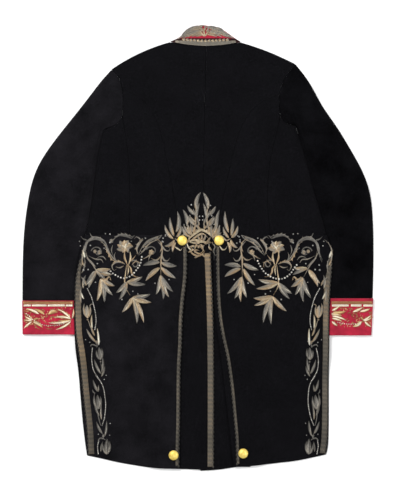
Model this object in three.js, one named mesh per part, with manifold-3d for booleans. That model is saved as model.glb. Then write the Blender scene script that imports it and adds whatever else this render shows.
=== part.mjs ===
// An embroidered uniform coat, laid flat on its front with its back up. Millimetres, +Z up.
// X runs across the coat from the wearer's left to the right, and Y from the hem up to the collar.
// The fronts, under sleeves and tails lie on the surface at Z = 0, and the backs, side bodies and
// top sleeves lie on them. Each piece is a wall of cloth with a small gap at its seams.
// Plan measures are taken from the centre back line and from the waist seam, and the finished coat
// is moved at the end so that the middle of its box stands over the origin.
import * as THREE from "three";
import { mergeVertices } from "three/addons/utils/BufferGeometryUtils.js";
import Module from "manifold-3d";

const wasm = await Module();
wasm.setup();

// Cloth and seams
const CLOTH = 2.6; // the lined wool of the body
const TAIL_CLOTH = 2.4; // the tails, the cuffs and the collar
const SLEEVE_CLOTH = 2.5;
const SEAM = 0.4; // between the edges of two pieces
const LAYER = 0.35; // between two layers that lie on each other
const AIR = 3.2; // the most air between the back and the fronts
const BODY_LOW = 2 * CLOTH + LAYER;
const BODY_TOP = BODY_LOW + AIR;

// Trimmings
const BRAID = { wide: 14.4, narrow: 10, thick: 1.3 };
const GOLDWORK = 1.4;
const BUTTON = { radius: 11.2, high: 7.5 };

// Finishes
const WOOL = { color: 0x17171b, roughness: 0.95, metalness: 0 };
const SCARLET = { color: 0xc4264a, roughness: 0.9, metalness: 0 };
const LACE = { color: 0x8c8069, roughness: 0.55, metalness: 0.6 };
const BULLION = { color: 0xa08f6e, roughness: 0.5, metalness: 0.7 };
const GILT = { color: 0xe6c44a, roughness: 0.3, metalness: 0.9 };

// ---------- Lines ----------

const clamp01 = (t) => Math.min(1, Math.max(0, t));
const smooth = (t) => clamp01(t) ** 2 * (3 - 2 * clamp01(t));
const lerp = (a, b, t) => a + (b - a) * t;
const at = (x, y, z = 0) => new THREE.Vector3(x, y, z);
const mid = (a, b, t) => a.clone().lerp(b, t);
const reversed = (list) => [...list].reverse();
const span = (count) => Array.from({ length: count + 1 }, (_, i) => i / count);

const smoothPath = (points) =>
  new THREE.CatmullRomCurve3(points.map(([x, y]) => at(x, y)), false, "centripetal");

// A smooth line through plan points, as a list of evenly spaced points.
const line = (points, count) => smoothPath(points).getSpacedPoints(count);

// Lines end to end as one list, without the double points.
const join = (...lines) => lines.flatMap((list, i) => (i ? list.slice(1) : list));

const shifted = (list, dx, dy = 0) => list.map((p) => at(p.x + dx, p.y + dy, p.z));

// The x of a line at a height y, for a line that runs down the coat.
function xAt(list, y) {
  for (let i = 1; i < list.length; i++)
    if (list[i].y <= y || i === list.length - 1) {
      const [a, b] = [list[i - 1], list[i]];
      return lerp(a.x, b.x, clamp01((a.y - y) / (a.y - b.y || 1)));
    }
}

// The y of a line at a place x, for a line that runs across the coat towards +X.
function yAt(list, x) {
  for (let i = 1; i < list.length; i++)
    if (list[i].x >= x || i === list.length - 1) {
      const [a, b] = [list[i - 1], list[i]];
      return lerp(a.y, b.y, clamp01((x - a.x) / (b.x - a.x || 1)));
    }
}

// Rows of plan points inside four edges: top and bottom run across, left and right run down.
function patch(top, bottom, left, right) {
  const [nu, nv] = [top.length - 1, left.length - 1];
  return left.map((l, j) =>
    top.map((t, i) => {
      const [u, v] = [i / nu, j / nv];
      const across = mid(l, right[j], u);
      const down = mid(t, bottom[i], v);
      const corners = mid(mid(top[0], top[nu], u), mid(bottom[0], bottom[nu], u), v);
      return across.add(down).sub(corners);
    }),
  );
}

// ---------- Walls ----------

// A closed wall between rows of outer points and rows of inner points. Rows run down the piece and
// points run across it towards +X; in a ring the points of a row close on themselves.
function wall(outer, inner, ring = false) {
  const across = outer[0].length;
  const last = outer.length - 1;
  const out = (j, i) => j * across + (i % across);
  const inn = (j, i) => outer.length * across + out(j, i);
  const faces = [];
  const quad = (a, b, c, d) => faces.push(a, b, c, a, c, d);
  const cells = ring ? across : across - 1;
  for (let j = 0; j < last; j++)
    for (let i = 0; i < cells; i++) {
      quad(out(j, i), out(j + 1, i), out(j + 1, i + 1), out(j, i + 1));
      quad(inn(j, i), inn(j, i + 1), inn(j + 1, i + 1), inn(j + 1, i));
    }
  for (let i = 0; i < cells; i++) {
    quad(inn(0, i), out(0, i), out(0, i + 1), inn(0, i + 1));
    quad(out(last, i), inn(last, i), inn(last, i + 1), out(last, i + 1));
  }
  if (!ring)
    for (let j = 0; j < last; j++) {
      quad(inn(j, 0), inn(j + 1, 0), out(j + 1, 0), out(j, 0));
      quad(out(j, cells), out(j + 1, cells), inn(j + 1, cells), inn(j, cells));
    }
  const geometry = new THREE.BufferGeometry();
  const points = [...outer.flat(), ...inner.flat()].flatMap((p) => [p.x, p.y, p.z]);
  geometry.setAttribute("position", new THREE.Float32BufferAttribute(points, 3));
  geometry.setIndex(faces);
  return geometry;
}

// Rows that are listed from +X to -X are turned about, so that each wall faces out.
const eastward = (rows) => (rows.at(-1).at(-1).x > rows.at(-1)[0].x ? rows : rows.map(reversed));

// A wall that lies with its outer side up, at a height that follows a rule.
function lying(rows, topOf, thickOf) {
  const outer = eastward(rows).map((row) => row.map((p) => at(p.x, p.y, topOf(p.x, p.y))));
  return wall(outer, outer.map((row) => row.map((p) => at(p.x, p.y, p.z - thickOf(p.x, p.y)))));
}

// A flat piece cut to an outline, with its underside at a height.
function plate(outline, thick, under = 0) {
  const shape = new THREE.Shape(outline.map((p) => new THREE.Vector2(p.x, p.y)));
  const solid = new THREE.ExtrudeGeometry(shape, { depth: thick, bevelEnabled: false });
  return solid.translate(0, 0, under);
}

function solidOf(geometry) {
  const bare = new THREE.BufferGeometry();
  const loose = geometry.index ? geometry.toNonIndexed() : geometry;
  bare.setAttribute("position", loose.getAttribute("position"));
  const merged = mergeVertices(bare, 1e-3);
  return new wasm.Manifold(
    new wasm.Mesh({
      numProp: 3,
      vertProperties: merged.attributes.position.array,
      triVerts: new Uint32Array(merged.index.array),
    }),
  );
}

function geometryOf(solid) {
  const mesh = solid.getMesh();
  const geometry = new THREE.BufferGeometry();
  geometry.setAttribute("position", new THREE.BufferAttribute(new Float32Array(mesh.vertProperties), 3));
  geometry.setIndex(new THREE.BufferAttribute(new Uint32Array(mesh.triVerts), 1));
  return geometry;
}

// Points are set on a fine grid, and the slivers that close up by it are left out.
const GRID = 0.02;

function onGrid(geometry) {
  const place = geometry.getAttribute("position");
  const snapped = Array.from(place.array, (value) => Math.round(value / GRID) * GRID);
  const grid = new THREE.BufferGeometry();
  grid.setAttribute("position", new THREE.Float32BufferAttribute(snapped, 3));
  grid.setIndex(geometry.index);
  const merged = mergeVertices(grid, GRID / 4);
  const index = merged.index.array;
  const faces = [];
  for (let i = 0; i < index.length; i += 3) {
    const [a, b, c] = index.slice(i, i + 3);
    if (a !== b && b !== c && c !== a) faces.push(a, b, c);
  }
  merged.setIndex(faces);
  return merged;
}

const joined = (geometries) => geometryOf(geometries.map(solidOf).reduce((whole, part) => whole.add(part)));

// ---------- Plan of the coat ----------

// Seams and edges of each side, from the top down, as the coat lies.
const PLAN = {
  left: {
    sign: -1,
    shoulder: [[-77, 426], [-101, 418], [-134, 405], [-172, 387], [-207, 364]],
    armholeBack: [[-207, 364], [-190, 349], [-182, 321]],
    armholeSide: [[-182, 321], [-180, 292], [-182, 262]],
    armholeFront: [[-182, 262], [-189, 246], [-205, 237], [-224, 231]],
    sideEdge: [[-224, 231], [-238, 167], [-245, 101], [-253, 46], [-263, 1]],
    underarm: [[-182, 262], [-173, 211], [-167, 156], [-165, 90], [-166, 1]],
    sideBack: [
      [-182, 321], [-152, 312], [-121, 284], [-99, 233], [-84, 167], [-70, 90], [-59, 35], [-50, 1],
    ],
    sleeveOuter: [
      [-207, 364], [-227, 343], [-260, 299], [-295, 255], [-330, 211], [-361, 167], [-381, 123],
      [-390, 79], [-398, 24], [-402, -42], [-403, -144],
    ],
    cuff: { top: -144, end: -219, outer: [-403, -402], inner: [-277, -279], shown: -294 },
    frontEdge: [
      [-264, 0], [-275, -44], [-286, -97], [-288, -152], [-286, -216], [-279, -264], [-271, -350],
      [-263, -427], [-260, -486],
    ],
    pleatFold: [
      [-50, 0], [-41, -38], [-41, -77], [-46, -141], [-51, -190], [-54, -273], [-55, -405], [-57, -515],
    ],
    hem: [[-260, -486], [-222, -494], [-169, -506], [-114, -513], [-57, -515]],
    stripHem: [[-95, -515], [-57, -516], [20, -517]],
    vent: [[-3, 1], [3, -20], [12, -44], [15, -141], [18, -317], [20, -517]],
    sleeveLap: [0, 3, 8], // how far the tail lies over the sleeve at the waist, below it, and at the cuff
  },
  right: {
    sign: 1,
    shoulder: [[79, 425], [95, 419], [121, 411], [154, 398], [200, 376]],
    armholeBack: [[200, 376], [184, 357], [169, 334], [164, 308]],
    armholeSide: [[164, 308], [163, 285], [166, 260]],
    armholeFront: [[166, 260], [174, 247], [186, 242], [200, 240]],
    sideEdge: [[200, 240], [212, 200], [222, 167], [231, 134], [246, 75], [257, 40], [267, 1]],
    underarm: [[166, 260], [154, 211], [142, 156], [137, 90], [143, 1]],
    sideBack: [[164, 308], [131, 299], [99, 275], [75, 227], [57, 163], [42, 90], [31, 35], [24, 1]],
    sleeveOuter: [
      [200, 376], [227, 343], [251, 299], [263, 275], [284, 250], [308, 211], [334, 167], [356, 123],
      [367, 79], [371, 24], [372, -57], [370, -139],
    ],
    cuff: { top: -139, end: -221, outer: [371, 367], inner: [250, 244], shown: 284 },
    frontEdge: [
      [268, 0], [279, -35], [280, -70], [276, -119], [274, -167], [273, -295], [272, -427], [267, -484],
    ],
    pleatFold: [[24, 0], [21, -38], [20, -141], [36, -244], [47, -317], [57, -394], [63, -482], [65, -511]],
    hem: [[65, -511], [108, -508], [150, -504], [205, -497], [267, -484]],
    stripHem: [[-11, -520], [33, -517], [66, -512], [103, -508]],
    vent: [[-3, 1], [-5, -20], [-11, -44], [-11, -141], [-11, -317], [-11, -520]],
    sleeveLap: [0, 14, 32],
  },
};
const NECK = line([[-77, 426], [-40, 420], [3, 418], [45, 420], [79, 425]], 8);
const CENTRE_SEAM = [[3, 418], [0, 300], [-3, 150], [-3, 1]];

// Seams as lists of points that the pieces on both sides of them share.
const SEGMENTS = { armholeBack: 4, armholeSide: 4, armholeFront: 3, sideEdge: 8, underarm: 8, sideBack: 8 };
const HEAD = SEGMENTS.armholeBack + SEGMENTS.armholeSide; // cells across the head of a sleeve
for (const side of Object.values(PLAN)) {
  side.seam = Object.fromEntries(Object.entries(SEGMENTS).map(([key, n]) => [key, line(side[key], n)]));
  side.frontLine = line(side.frontEdge, 40);
  side.foldLine = line(side.pleatFold, 40);
  side.hemLine = line(side.hem, 12);
}

// ---------- Heights ----------

// Folds: each rises along a line from one plan point to another, and fades beyond its ends.
const FOLDS = {
  body: [
    { from: [-112, 290], to: [-90, 205], wide: 12, high: -1.7 },
    { from: [-148, 250], to: [-120, 110], wide: 22, high: 1.2 },
    { from: [112, 320], to: [56, 222], wide: 14, high: -1.9 },
    { from: [126, 240], to: [106, 110], wide: 20, high: 1.4 },
    { from: [-214, 200], to: [-222, 100], wide: 11, high: 1.6 },
    { from: [184, 226], to: [196, 140], wide: 9, high: 2.4 },
    { from: [174, 220], to: [178, 150], wide: 7, high: -1.8 },
  ],
  left: [
    { from: [-206, 258], to: [-306, 194], wide: 17, high: 6.5 },
    { from: [-222, 232], to: [-322, 156], wide: 10, high: -2.4 },
    { from: [-216, 320], to: [-252, 262], wide: 24, high: 3.0 },
    { from: [-272, 160], to: [-324, 20], wide: 26, high: 3.6 },
    { from: [-366, 96], to: [-374, -70], wide: 18, high: 2.2 },
    { from: [-276, 58], to: [-340, 26], wide: 12, high: 1.8 },
  ],
  right: [
    { from: [196, 262], to: [280, 236], wide: 15, high: 6.0 },
    { from: [216, 214], to: [248, 110], wide: 13, high: 4.5 },
    { from: [214, 240], to: [296, 160], wide: 10, high: -2.6 },
    { from: [206, 330], to: [238, 280], wide: 22, high: 3.0 },
    { from: [276, 180], to: [312, 20], wide: 24, high: 3.6 },
    { from: [340, 96], to: [344, -70], wide: 17, high: 2.2 },
    { from: [344, 92], to: [296, 62], wide: 11, high: 1.8 },
  ],
  tails: [
    { from: [-118, -130], to: [-112, -460], wide: 18, high: 1.8 },
    { from: [-196, -130], to: [-190, -430], wide: 24, high: 1.4 },
    { from: [126, -130], to: [156, -460], wide: 20, high: 2.0 },
    { from: [200, -250], to: [212, -430], wide: 22, high: 1.4 },
  ],
};

function foldAt(folds, x, y) {
  let sum = 0;
  for (const { from, to, wide, high } of folds) {
    const [dx, dy] = [to[0] - from[0], to[1] - from[1]];
    const t = ((x - from[0]) * dx + (y - from[1]) * dy) / (dx * dx + dy * dy);
    const near = [lerp(from[0], to[0], clamp01(t)), lerp(from[1], to[1], clamp01(t))];
    sum += high * Math.exp(-((Math.hypot(x - near[0], y - near[1]) / wide) ** 2));
  }
  return sum;
}

// The top edge of the body, from one shoulder tip over the neck to the other.
const TOP_LINE = join(reversed(line(PLAN.left.shoulder, 8)), NECK, line(PLAN.right.shoulder, 8));
const SHOULDER_ROLL = 44;

// The outer height of the upper layer of the body above the waist.
function bodyTop(x, y) {
  const full = BODY_LOW + AIR * smooth((yAt(TOP_LINE, x) - y) / SHOULDER_ROLL);
  return Math.max(BODY_LOW, Math.min(BODY_TOP + 0.7, full + foldAt(FOLDS.body, x, y)));
}

// The strips of the backs come down from the waist to the surface, and the left one laps over the right.
const STRIP_DROP = 46;
const LAP = { from: 42, depth: 40, rise: TAIL_CLOTH + 3 * LAYER };
const backThick = (y) => lerp(CLOTH, TAIL_CLOTH, smooth(-y / STRIP_DROP));

function backTop(sign, x, y) {
  const drop = smooth((-y - 4) / STRIP_DROP);
  const lap = sign < 0 ? LAP.rise * smooth((x + 33) / 17) * smooth((LAP.from - y) / LAP.depth) : 0;
  return lerp(bodyTop(x, Math.max(y, 1)), TAIL_CLOTH, drop) + lap;
}

// The tails: level with the body at the waist, on the surface in the middle, up over the pleat at the
// centre back, and up over the sleeve and the cuff at the front edge.
const WAIST_LEVEL = BODY_TOP - 0.2;
const TAIL_DROP = 84;
const PLEAT = { deep: 36, rise: 34, top: 3 * TAIL_CLOTH + 2 * LAYER };
const CUFF = { thick: TAIL_CLOTH, high: 8.4 };
const OVER = { slope: 44, top: CUFF.high + LAYER + TAIL_CLOTH + 0.5, from: 262, to: 300 };

function sleeveLapAt({ sleeveLap: [waist, below, cuff] }, y) {
  return lerp(lerp(waist, below, smooth(-y / 36)), cuff, smooth((-y - 36) / 100));
}

function tailTop(side, x, y) {
  const fromFold = side.sign * (x - xAt(side.foldLine, y));
  const fromEdge = side.sign * (xAt(side.frontLine, y) - x);
  const waist = smooth((y + TAIL_DROP) / TAIL_DROP);
  const floor = lerp(TAIL_CLOTH + Math.max(0, foldAt(FOLDS.tails, x, y)), WAIST_LEVEL, waist);
  const pleat = lerp(PLEAT.top, WAIST_LEVEL, waist);
  const onPleat = smooth(1 - (fromFold - PLEAT.deep - 4) / PLEAT.rise);
  const onSleeve = smooth(1 - (fromEdge - sleeveLapAt(side, y) - 4) / OVER.slope);
  const reach = smooth((y + OVER.to) / (OVER.to - OVER.from)) * smooth((6 - y) / 36);
  return lerp(lerp(floor, pleat, onPleat), OVER.top, onSleeve * reach);
}

// ---------- The pieces ----------

const coat = new THREE.Group();

function addPiece(name, geometry, finish) {
  const piece = new THREE.Mesh(geometry, new THREE.MeshStandardMaterial(finish));
  piece.name = name;
  coat.add(piece);
  return piece;
}

const named = (kind, sideName) => kind + "_" + sideName;

// Backs: cut in one from the neck to the hem, each with the narrow strip between the pleats.
const STRIP_TUCK = 34; // how far the strip runs on under the pleat
const STRIP_ROWS = [0, 0.04, 0.08, 0.12, 0.17, 0.23, 0.34, 0.5, 0.66, 0.83, 1];

function ventEdge(side) {
  const edge = line(side.vent, 40);
  const foot = edge.at(-1).y;
  return STRIP_ROWS.map((v) => at(xAt(edge, v * foot), Math.min(0.8, v * foot)));
}

function addBack(sideName) {
  const side = PLAN[sideName];
  const { sign, seam } = side;
  const inner = -sign * (SEAM / 2);
  const strip = STRIP_ROWS.map((v) => {
    const y = lerp(0, side.foldLine.at(-1).y, v);
    return at(xAt(side.foldLine, y) + inner * 5 + sign * STRIP_TUCK * smooth((-y - 66) / 50), y);
  });
  const outerEdge = join(shifted(join(seam.armholeBack, seam.sideBack), inner), strip);
  const seamCells = outerEdge.length - STRIP_ROWS.length;
  const centre = join(shifted(line(CENTRE_SEAM, seamCells), sign * (SEAM / 2)), ventEdge(side));
  const neckHalf = sign < 0 ? NECK.slice(0, 5) : reversed(NECK).slice(0, 5);
  const top = join(reversed(line(side.shoulder, 4)), neckHalf);
  const hem = line(sign < 0 ? side.stripHem : reversed(side.stripHem), 8);
  [top[0], top[8]] = [outerEdge[0], centre[0]];
  [hem[0], hem[8]] = [outerEdge.at(-1), centre.at(-1)];
  const rows = patch(top, hem, outerEdge, centre);
  const geometry = lying(rows, (x, y) => backTop(sign, x, y), (x, y) => backThick(y));
  addPiece(named("back", sideName), geometry, WOOL);
}

// Side bodies: between the curved side-back seam and the underarm seam, down to the waist.
function addSideBody(sideName) {
  const { sign, seam } = PLAN[sideName];
  const outerEdge = shifted(seam.underarm, -sign * (SEAM / 2));
  const innerEdge = shifted(seam.sideBack, sign * (SEAM / 2));
  const top = shifted(reversed(seam.armholeSide), -sign * (SEAM / 2));
  const cells = SEGMENTS.armholeSide;
  [top[0], top[cells]] = [outerEdge[0], innerEdge[0]];
  const waist = span(cells).map((t) => mid(outerEdge.at(-1), innerEdge.at(-1), t));
  const rows = patch(top, waist, outerEdge, innerEdge);
  addPiece(named("side_body", sideName), lying(rows, bodyTop, () => CLOTH), WOOL);
}

// Fronts: a flat panel on the surface, carried round the side edge and up to the underarm seam.
const SIDE_ROLL = [0, 1.6, 4.6, 9];
const FRONT_NECK = { left: [[-77, 426], [-52, 384], [0, 360]], right: [[79, 425], [53, 384], [0, 360]] };

function addFront(sideName) {
  const { sign, seam, shoulder } = PLAN[sideName];
  const inward = -sign * (SEAM / 2);
  const neck = line(FRONT_NECK[sideName], 5).map((p, i) => (i < 5 ? p : at(sign * (SEAM / 2), p.y)));
  const armhole = join(seam.armholeBack, seam.armholeSide, seam.armholeFront);
  const outline = join(
    reversed(neck),
    line(shoulder, 4),
    shifted(armhole, inward),
    shifted(seam.sideEdge, inward),
  );
  outline.push(at(sign * (SEAM / 2), 1));
  const edge = shifted(seam.sideEdge, inward);
  const inner = shifted(seam.underarm, sign * (SEAM / 2));
  const top = shifted(reversed(seam.armholeFront), inward);
  [top[0], top[3]] = [edge[0], inner[0]];
  const coarse = patch(top, span(3).map((t) => mid(edge.at(-1), inner.at(-1), t)), edge, inner);
  const outer = coarse.map((row) => {
    const reach = row[0].distanceTo(row[1]);
    const near = SIDE_ROLL.map((d) => mid(row[0], row[1], (d / 10) * Math.min(1, 10 / reach)));
    return [...near, ...row.slice(1)].map((p, i) => {
      const turn = i < SIDE_ROLL.length ? Math.sqrt(1 - (1 - SIDE_ROLL[i] / 10) ** 2) : 1;
      return at(p.x, p.y, lerp(CLOTH + 0.4, bodyTop(p.x, p.y), turn));
    });
  });
  const wrap = eastward(outer);
  const under = wrap.map((row) => row.map((p) => at(p.x, p.y, Math.max(0.4, p.z - CLOTH))));
  addPiece(named("front", sideName), joined([plate(outline, CLOTH), wall(wrap, under)]), WOOL);
}

// Tails: from the waist seam to the hem, with the pleat folded under at the centre back.
const TAIL_ROWS = [
  0, 0.03, 0.06, 0.1, 0.14, 0.18, 0.23, 0.3, 0.37, 0.44, 0.48, 0.52, 0.56, 0.6, 0.68, 0.78, 0.89, 1,
];
const FROM_FOLD = [0, TAIL_CLOTH, 20, ...[4, 16, 30, 42].map((d) => PLEAT.deep + d)];
const FROM_LAP = [OVER.slope + 6, OVER.slope - 10, 20, 4];

function addTail(sideName) {
  const side = PLAN[sideName];
  const { sign } = side;
  const [foldFoot, edgeFoot] = [side.foldLine.at(-1), side.frontLine.at(-1)];
  const outer = TAIL_ROWS.map((v) => {
    const [foldY, edgeY] = [v * foldFoot.y, v * edgeFoot.y];
    const fold = at(xAt(side.foldLine, foldY), foldY - (1 - v) * SEAM);
    const edge = at(xAt(side.frontLine, edgeY), edgeY - (1 - v) * SEAM);
    const width = Math.abs(edge.x - fold.x);
    const lap = sleeveLapAt(side, edgeY);
    const nearFold = FROM_FOLD.map((d) => d / width);
    const nearEdge = FROM_LAP.map((d) => 1 - (lap + d) / width);
    const places = [...nearFold, 0.62 - 0.1 * (1 - v), ...nearEdge, 1];
    return places.map((s) => {
      const x = lerp(fold.x, edge.x, s);
      const straight = lerp(fold.y, edge.y, s);
      return at(x, lerp(straight, yAt(side.hemLine, x), v ** 3));
    });
  });
  const top = outer.map((row) => row.map((p) => at(p.x, p.y, tailTop(side, p.x, p.y))));
  const under = top.map((row) => row.map((p) => at(p.x, p.y, p.z - TAIL_CLOTH)));
  const rows = top.map((row, j) => {
    const [edge, inside] = [row[0], under[j][1]];
    const deep = Math.max(TAIL_CLOTH + 1, PLEAT.deep * smooth((-edge.y + 10) / 90));
    const low = Math.min(inside.z, PLEAT.top - TAIL_CLOTH) - LAYER;
    const end = [edge.x + sign * deep, edge.y];
    return {
      outer: [at(...end, low - TAIL_CLOTH), at(edge.x, edge.y, low - TAIL_CLOTH), ...row],
      inner: [at(...end, low), at(inside.x, inside.y, low), inside, ...under[j].slice(1)],
    };
  });
  const turn = (list) => (sign > 0 ? list : reversed(list));
  const [outside, inside] = ["outer", "inner"].map((face) => rows.map((r) => turn(r[face])));
  addPiece(named("skirt", sideName), wall(outside, inside), WOOL);
}

// Sleeves: the top sleeve is a lid whose edges stand on the surface, and the under sleeve lies flat in it.
const SLEEVE_HIGH = { head: 11.5, cuff: 8.0 };
const RIM = [
  { d: 0, share: 0, inset: SLEEVE_CLOTH, under: 0 },
  { d: 1.5, share: 0.5, inset: 1.9, under: 0.3 },
  { d: 6, share: 0.87, inset: 1.1, under: 0.66 },
];
const SLEEVE_LOWER = [[0, -12], [0.12, -40], [0.35, -74], [0.7, -108]];

function sleeveInner(side) {
  const below = SLEEVE_LOWER.map(([, y]) => [xAt(side.frontLine, y) - side.sign * sleeveLapAt(side, y), y]);
  const lower = line([side.sideEdge.at(-1), ...below, [side.cuff.inner[0], side.cuff.top]], 5);
  return shifted(join(side.seam.sideEdge, lower), side.sign * 0.9);
}

// Rows across a sleeve. Its outer edge runs from the shoulder tip, and its inner edge from the top of
// the underarm seam, along the front of the armhole to the armpit, and down beside the body.
function sleeveRows(sideName) {
  const side = PLAN[sideName];
  const { sign, seam } = side;
  const head = shifted(join(seam.armholeBack, seam.armholeSide), sign * 0.4);
  const front = shifted(seam.armholeFront, sign * 0.4, 0.4);
  const innerEdge = join(front, sleeveInner(side));
  const outerEdge = line(side.sleeveOuter, innerEdge.length - 1);
  [outerEdge[0], innerEdge[0]] = [head[0], head[HEAD]];
  const cuffSeam = span(HEAD).map((t) => mid(outerEdge.at(-1), innerEdge.at(-1), t));
  return patch(head, cuffSeam, outerEdge, innerEdge);
}

function awayFrom(list, x, y) {
  const gaps = list.slice(1).map((b, i) => {
    const a = list[i];
    const [dx, dy] = [b.x - a.x, b.y - a.y];
    const t = clamp01(((x - a.x) * dx + (y - a.y) * dy) / (dx * dx + dy * dy));
    return Math.hypot(x - a.x - dx * t, y - a.y - dy * t);
  });
  return Math.min(...gaps);
}

// The outer height of a sleeve: level with the body at the armhole, then round and full.
function sleeveTop(sideName, x, y) {
  const { armholeBack, armholeSide, armholeFront } = PLAN[sideName].seam;
  const high = lerp(SLEEVE_HIGH.head, SLEEVE_HIGH.cuff, smooth((120 - y) / 150));
  const full = high + foldAt(FOLDS[sideName], x, y) * smooth((y + 60) / 60);
  const away = awayFrom(join(armholeBack, armholeSide, armholeFront), x, y);
  return lerp(bodyTop(x, y), Math.max(SLEEVE_HIGH.cuff - 0.6, full), smooth(away / 30));
}

// The way in from a sleeve's long edge, square to it; along the armhole and the cuff it follows them.
function inward(rows, j, edge, next) {
  const along = rows[j][next].clone().sub(rows[j][edge]);
  if (j > 0 && j < rows.length - 1) {
    const run = rows[j + 1][edge].clone().sub(rows[j - 1][edge]);
    const square = at(-run.y, run.x);
    along.copy(square.dot(along) > 0 ? square : square.negate());
  }
  return along.normalize();
}

function addTopSleeve(sideName) {
  const rows = sleeveRows(sideName);
  const outer = [];
  const inner = [];
  rows.forEach((row, j) => {
    const high = (p) => sleeveTop(sideName, p.x, p.y);
    const rim = (edgeAt, nextAt, lift) => {
      const [edge, along] = [row[edgeAt], inward(rows, j, edgeAt, nextAt)];
      return RIM.map(({ d, share, inset, under }) => {
        const p = edge.clone().addScaledVector(along, d);
        const q = edge.clone().addScaledVector(along, d + inset * (1 - lift));
        const full = lerp(high(row[nextAt]), high(p), lift);
        p.z = full * lerp(share, 1, lift);
        q.z = lerp(full * under, p.z - SLEEVE_CLOTH, lift);
        return [p, q];
      });
    };
    const onArmhole = 1 - smooth((j - 1) / (SEGMENTS.armholeFront - 1));
    const [first, last] = [rim(0, 1, 0), reversed(rim(HEAD, HEAD - 1, onArmhole))];
    const lid = (p, deep) => at(p.x, p.y, high(p) - deep);
    const core = row.slice(1, HEAD).map((p) => [lid(p, 0), lid(p, SLEEVE_CLOTH)]);
    const all = [...first, ...core, ...last];
    outer.push(all.map(([p]) => p));
    inner.push(all.map(([, q]) => q));
  });
  addPiece(named("top_sleeve", sideName), wall(eastward(outer), eastward(inner)), WOOL);
}

function addUnderSleeve(sideName) {
  const rows = sleeveRows(sideName);
  const inset = SLEEVE_CLOTH + 1.6;
  const edgeLine = (edgeAt, nextAt) =>
    rows.map((row, j) => row[edgeAt].clone().addScaledVector(inward(rows, j, edgeAt, nextAt), inset));
  const [outerSide, innerSide] = [edgeLine(0, 1), reversed(edgeLine(HEAD, HEAD - 1))];
  const outline = [...outerSide, ...innerSide, ...reversed(rows[0].slice(1, HEAD))];
  addPiece(named("under_sleeve", sideName), plate(outline, SLEEVE_CLOTH - 0.3), WOOL);
}

// Cuffs: a closed ring of cloth pressed flat.
function ringSection(x0, x1, y, radius, middle) {
  const turns = [90, 45, 0, -45, -90].map((a) => (a * Math.PI) / 180);
  const end = (x, way) =>
    turns.map((a) => at(x + way * radius * Math.cos(a), y, middle + radius * Math.sin(a)));
  const flat = (z) => [0.2, 0.4, 0.6, 0.8].map((s) => at(lerp(x0, x1, s), y, z));
  const upper = [...flat(middle + radius), ...end(x1, 1)];
  return [...upper, ...reversed(flat(middle - radius)), ...reversed(end(x0, -1))];
}

function addCuff(sideName) {
  const { top, end, outer, inner } = PLAN[sideName].cuff;
  const radius = CUFF.high / 2;
  const rows = (r) =>
    [0, 0.06, 0.5, 1].map((v) => {
      const swell = v === 0 ? 0.6 : 0;
      const [a, b] = [lerp(outer[0], outer[1], v), lerp(inner[0], inner[1], v)];
      const [x0, x1] = [Math.min(a, b) + radius, Math.max(a, b) - radius];
      return ringSection(x0, x1, lerp(top - SEAM, end, v), r - swell * 0.3, radius);
    });
  addPiece(named("cuff", sideName), wall(rows(radius), rows(radius - CUFF.thick), true), SCARLET);
}

// Collar: a standing collar pressed flat, with its back half over its front half.
const COLLAR_TOP = [
  [-76, 426.5], [-64, 431], [-54, 437], [-46, 443.5], [-39, 449.5], [-29, 456], [-15, 461.5], [-4, 463.5],
  [8, 459.5], [22, 459], [33, 455.5], [43, 449.5], [53, 443], [62, 435.5], [78, 426],
];
const COLLAR = { bulge: 3.4, gap: 0.5, seam: 0.6 };

function addCollar() {
  const upper = COLLAR_TOP.map(([x, y]) => at(x, y));
  const lower = upper.map((p) => at(lerp(-76, 78, (p.x + 76) / 154), yAt(NECK, p.x) + COLLAR.seam));
  const middle = (p) => Math.sin(Math.PI * clamp01((p.x + 76) / 154));
  const shares = [1, 0.82, 0.6, 0.4, 0.2, 0];
  const top = shares.map((t) =>
    lower.map((p, i) => {
      const q = mid(p, upper[i], t);
      const full = 0.35 + 0.65 * Math.sin(Math.PI * Math.min(1, t + 0.12));
      const stand = COLLAR.bulge * smooth(middle(q) * 1.6) * full;
      return at(q.x, q.y, 2 * TAIL_CLOTH + COLLAR.gap + stand);
    }),
  );
  const lid = wall(top, top.map((row) => row.map((p) => at(p.x, p.y, p.z - TAIL_CLOTH))));
  const outline = [...reversed(upper), ...lower.slice(1, -1)];
  const side = (a, b) => plate([upper[a], lower[a], lower[b], upper[b]], 2 * TAIL_CLOTH);
  addPiece("collar", joined([lid, plate(outline, TAIL_CLOTH), side(0, 1), side(13, 14)]), SCARLET);
}

// ---------- Trimmings ----------

// The height of the cloth under a place, and of the highest cloth close round it.
const ray = new THREE.Raycaster();
const cloth = () => coat.children.filter((piece) => piece.userData.cloth);

function surface(x, y, pieces = cloth()) {
  ray.set(at(x, y, 100), at(0, 0, -1));
  const hit = ray.intersectObjects(pieces, false)[0];
  return hit ? hit.point.z : 0;
}

function seat(x, y, reach = 2.5) {
  const turns = span(6).slice(1).map((t) => 2 * Math.PI * t);
  const round = turns.map((a) => surface(x + reach * Math.cos(a), y + reach * Math.sin(a)));
  return Math.max(surface(x, y), ...round) + LAYER;
}

// Lace: a flat band beside a line that runs down the coat; shareAt says how much of its width it has.
const whole = () => 1;
const slenderTop = (y) => 0.42 + 0.58 * smooth((-30 - y) / 90);

function addLace(name, list, from, to, shareAt = whole) {
  const rows = list.map((p) => {
    const ends = [at(p.x + from, p.y), at(p.x + lerp(from, to, shareAt(p.y)), p.y)];
    return to > from ? ends : reversed(ends);
  });
  addPiece(name, lying(rows, (x, y) => seat(x, y, 6) + BRAID.thick, () => BRAID.thick), LACE);
}

const between = (list, top, foot, count) =>
  span(count).map((t) => at(xAt(list, lerp(top, foot, t)), lerp(top, foot, t)));

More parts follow.
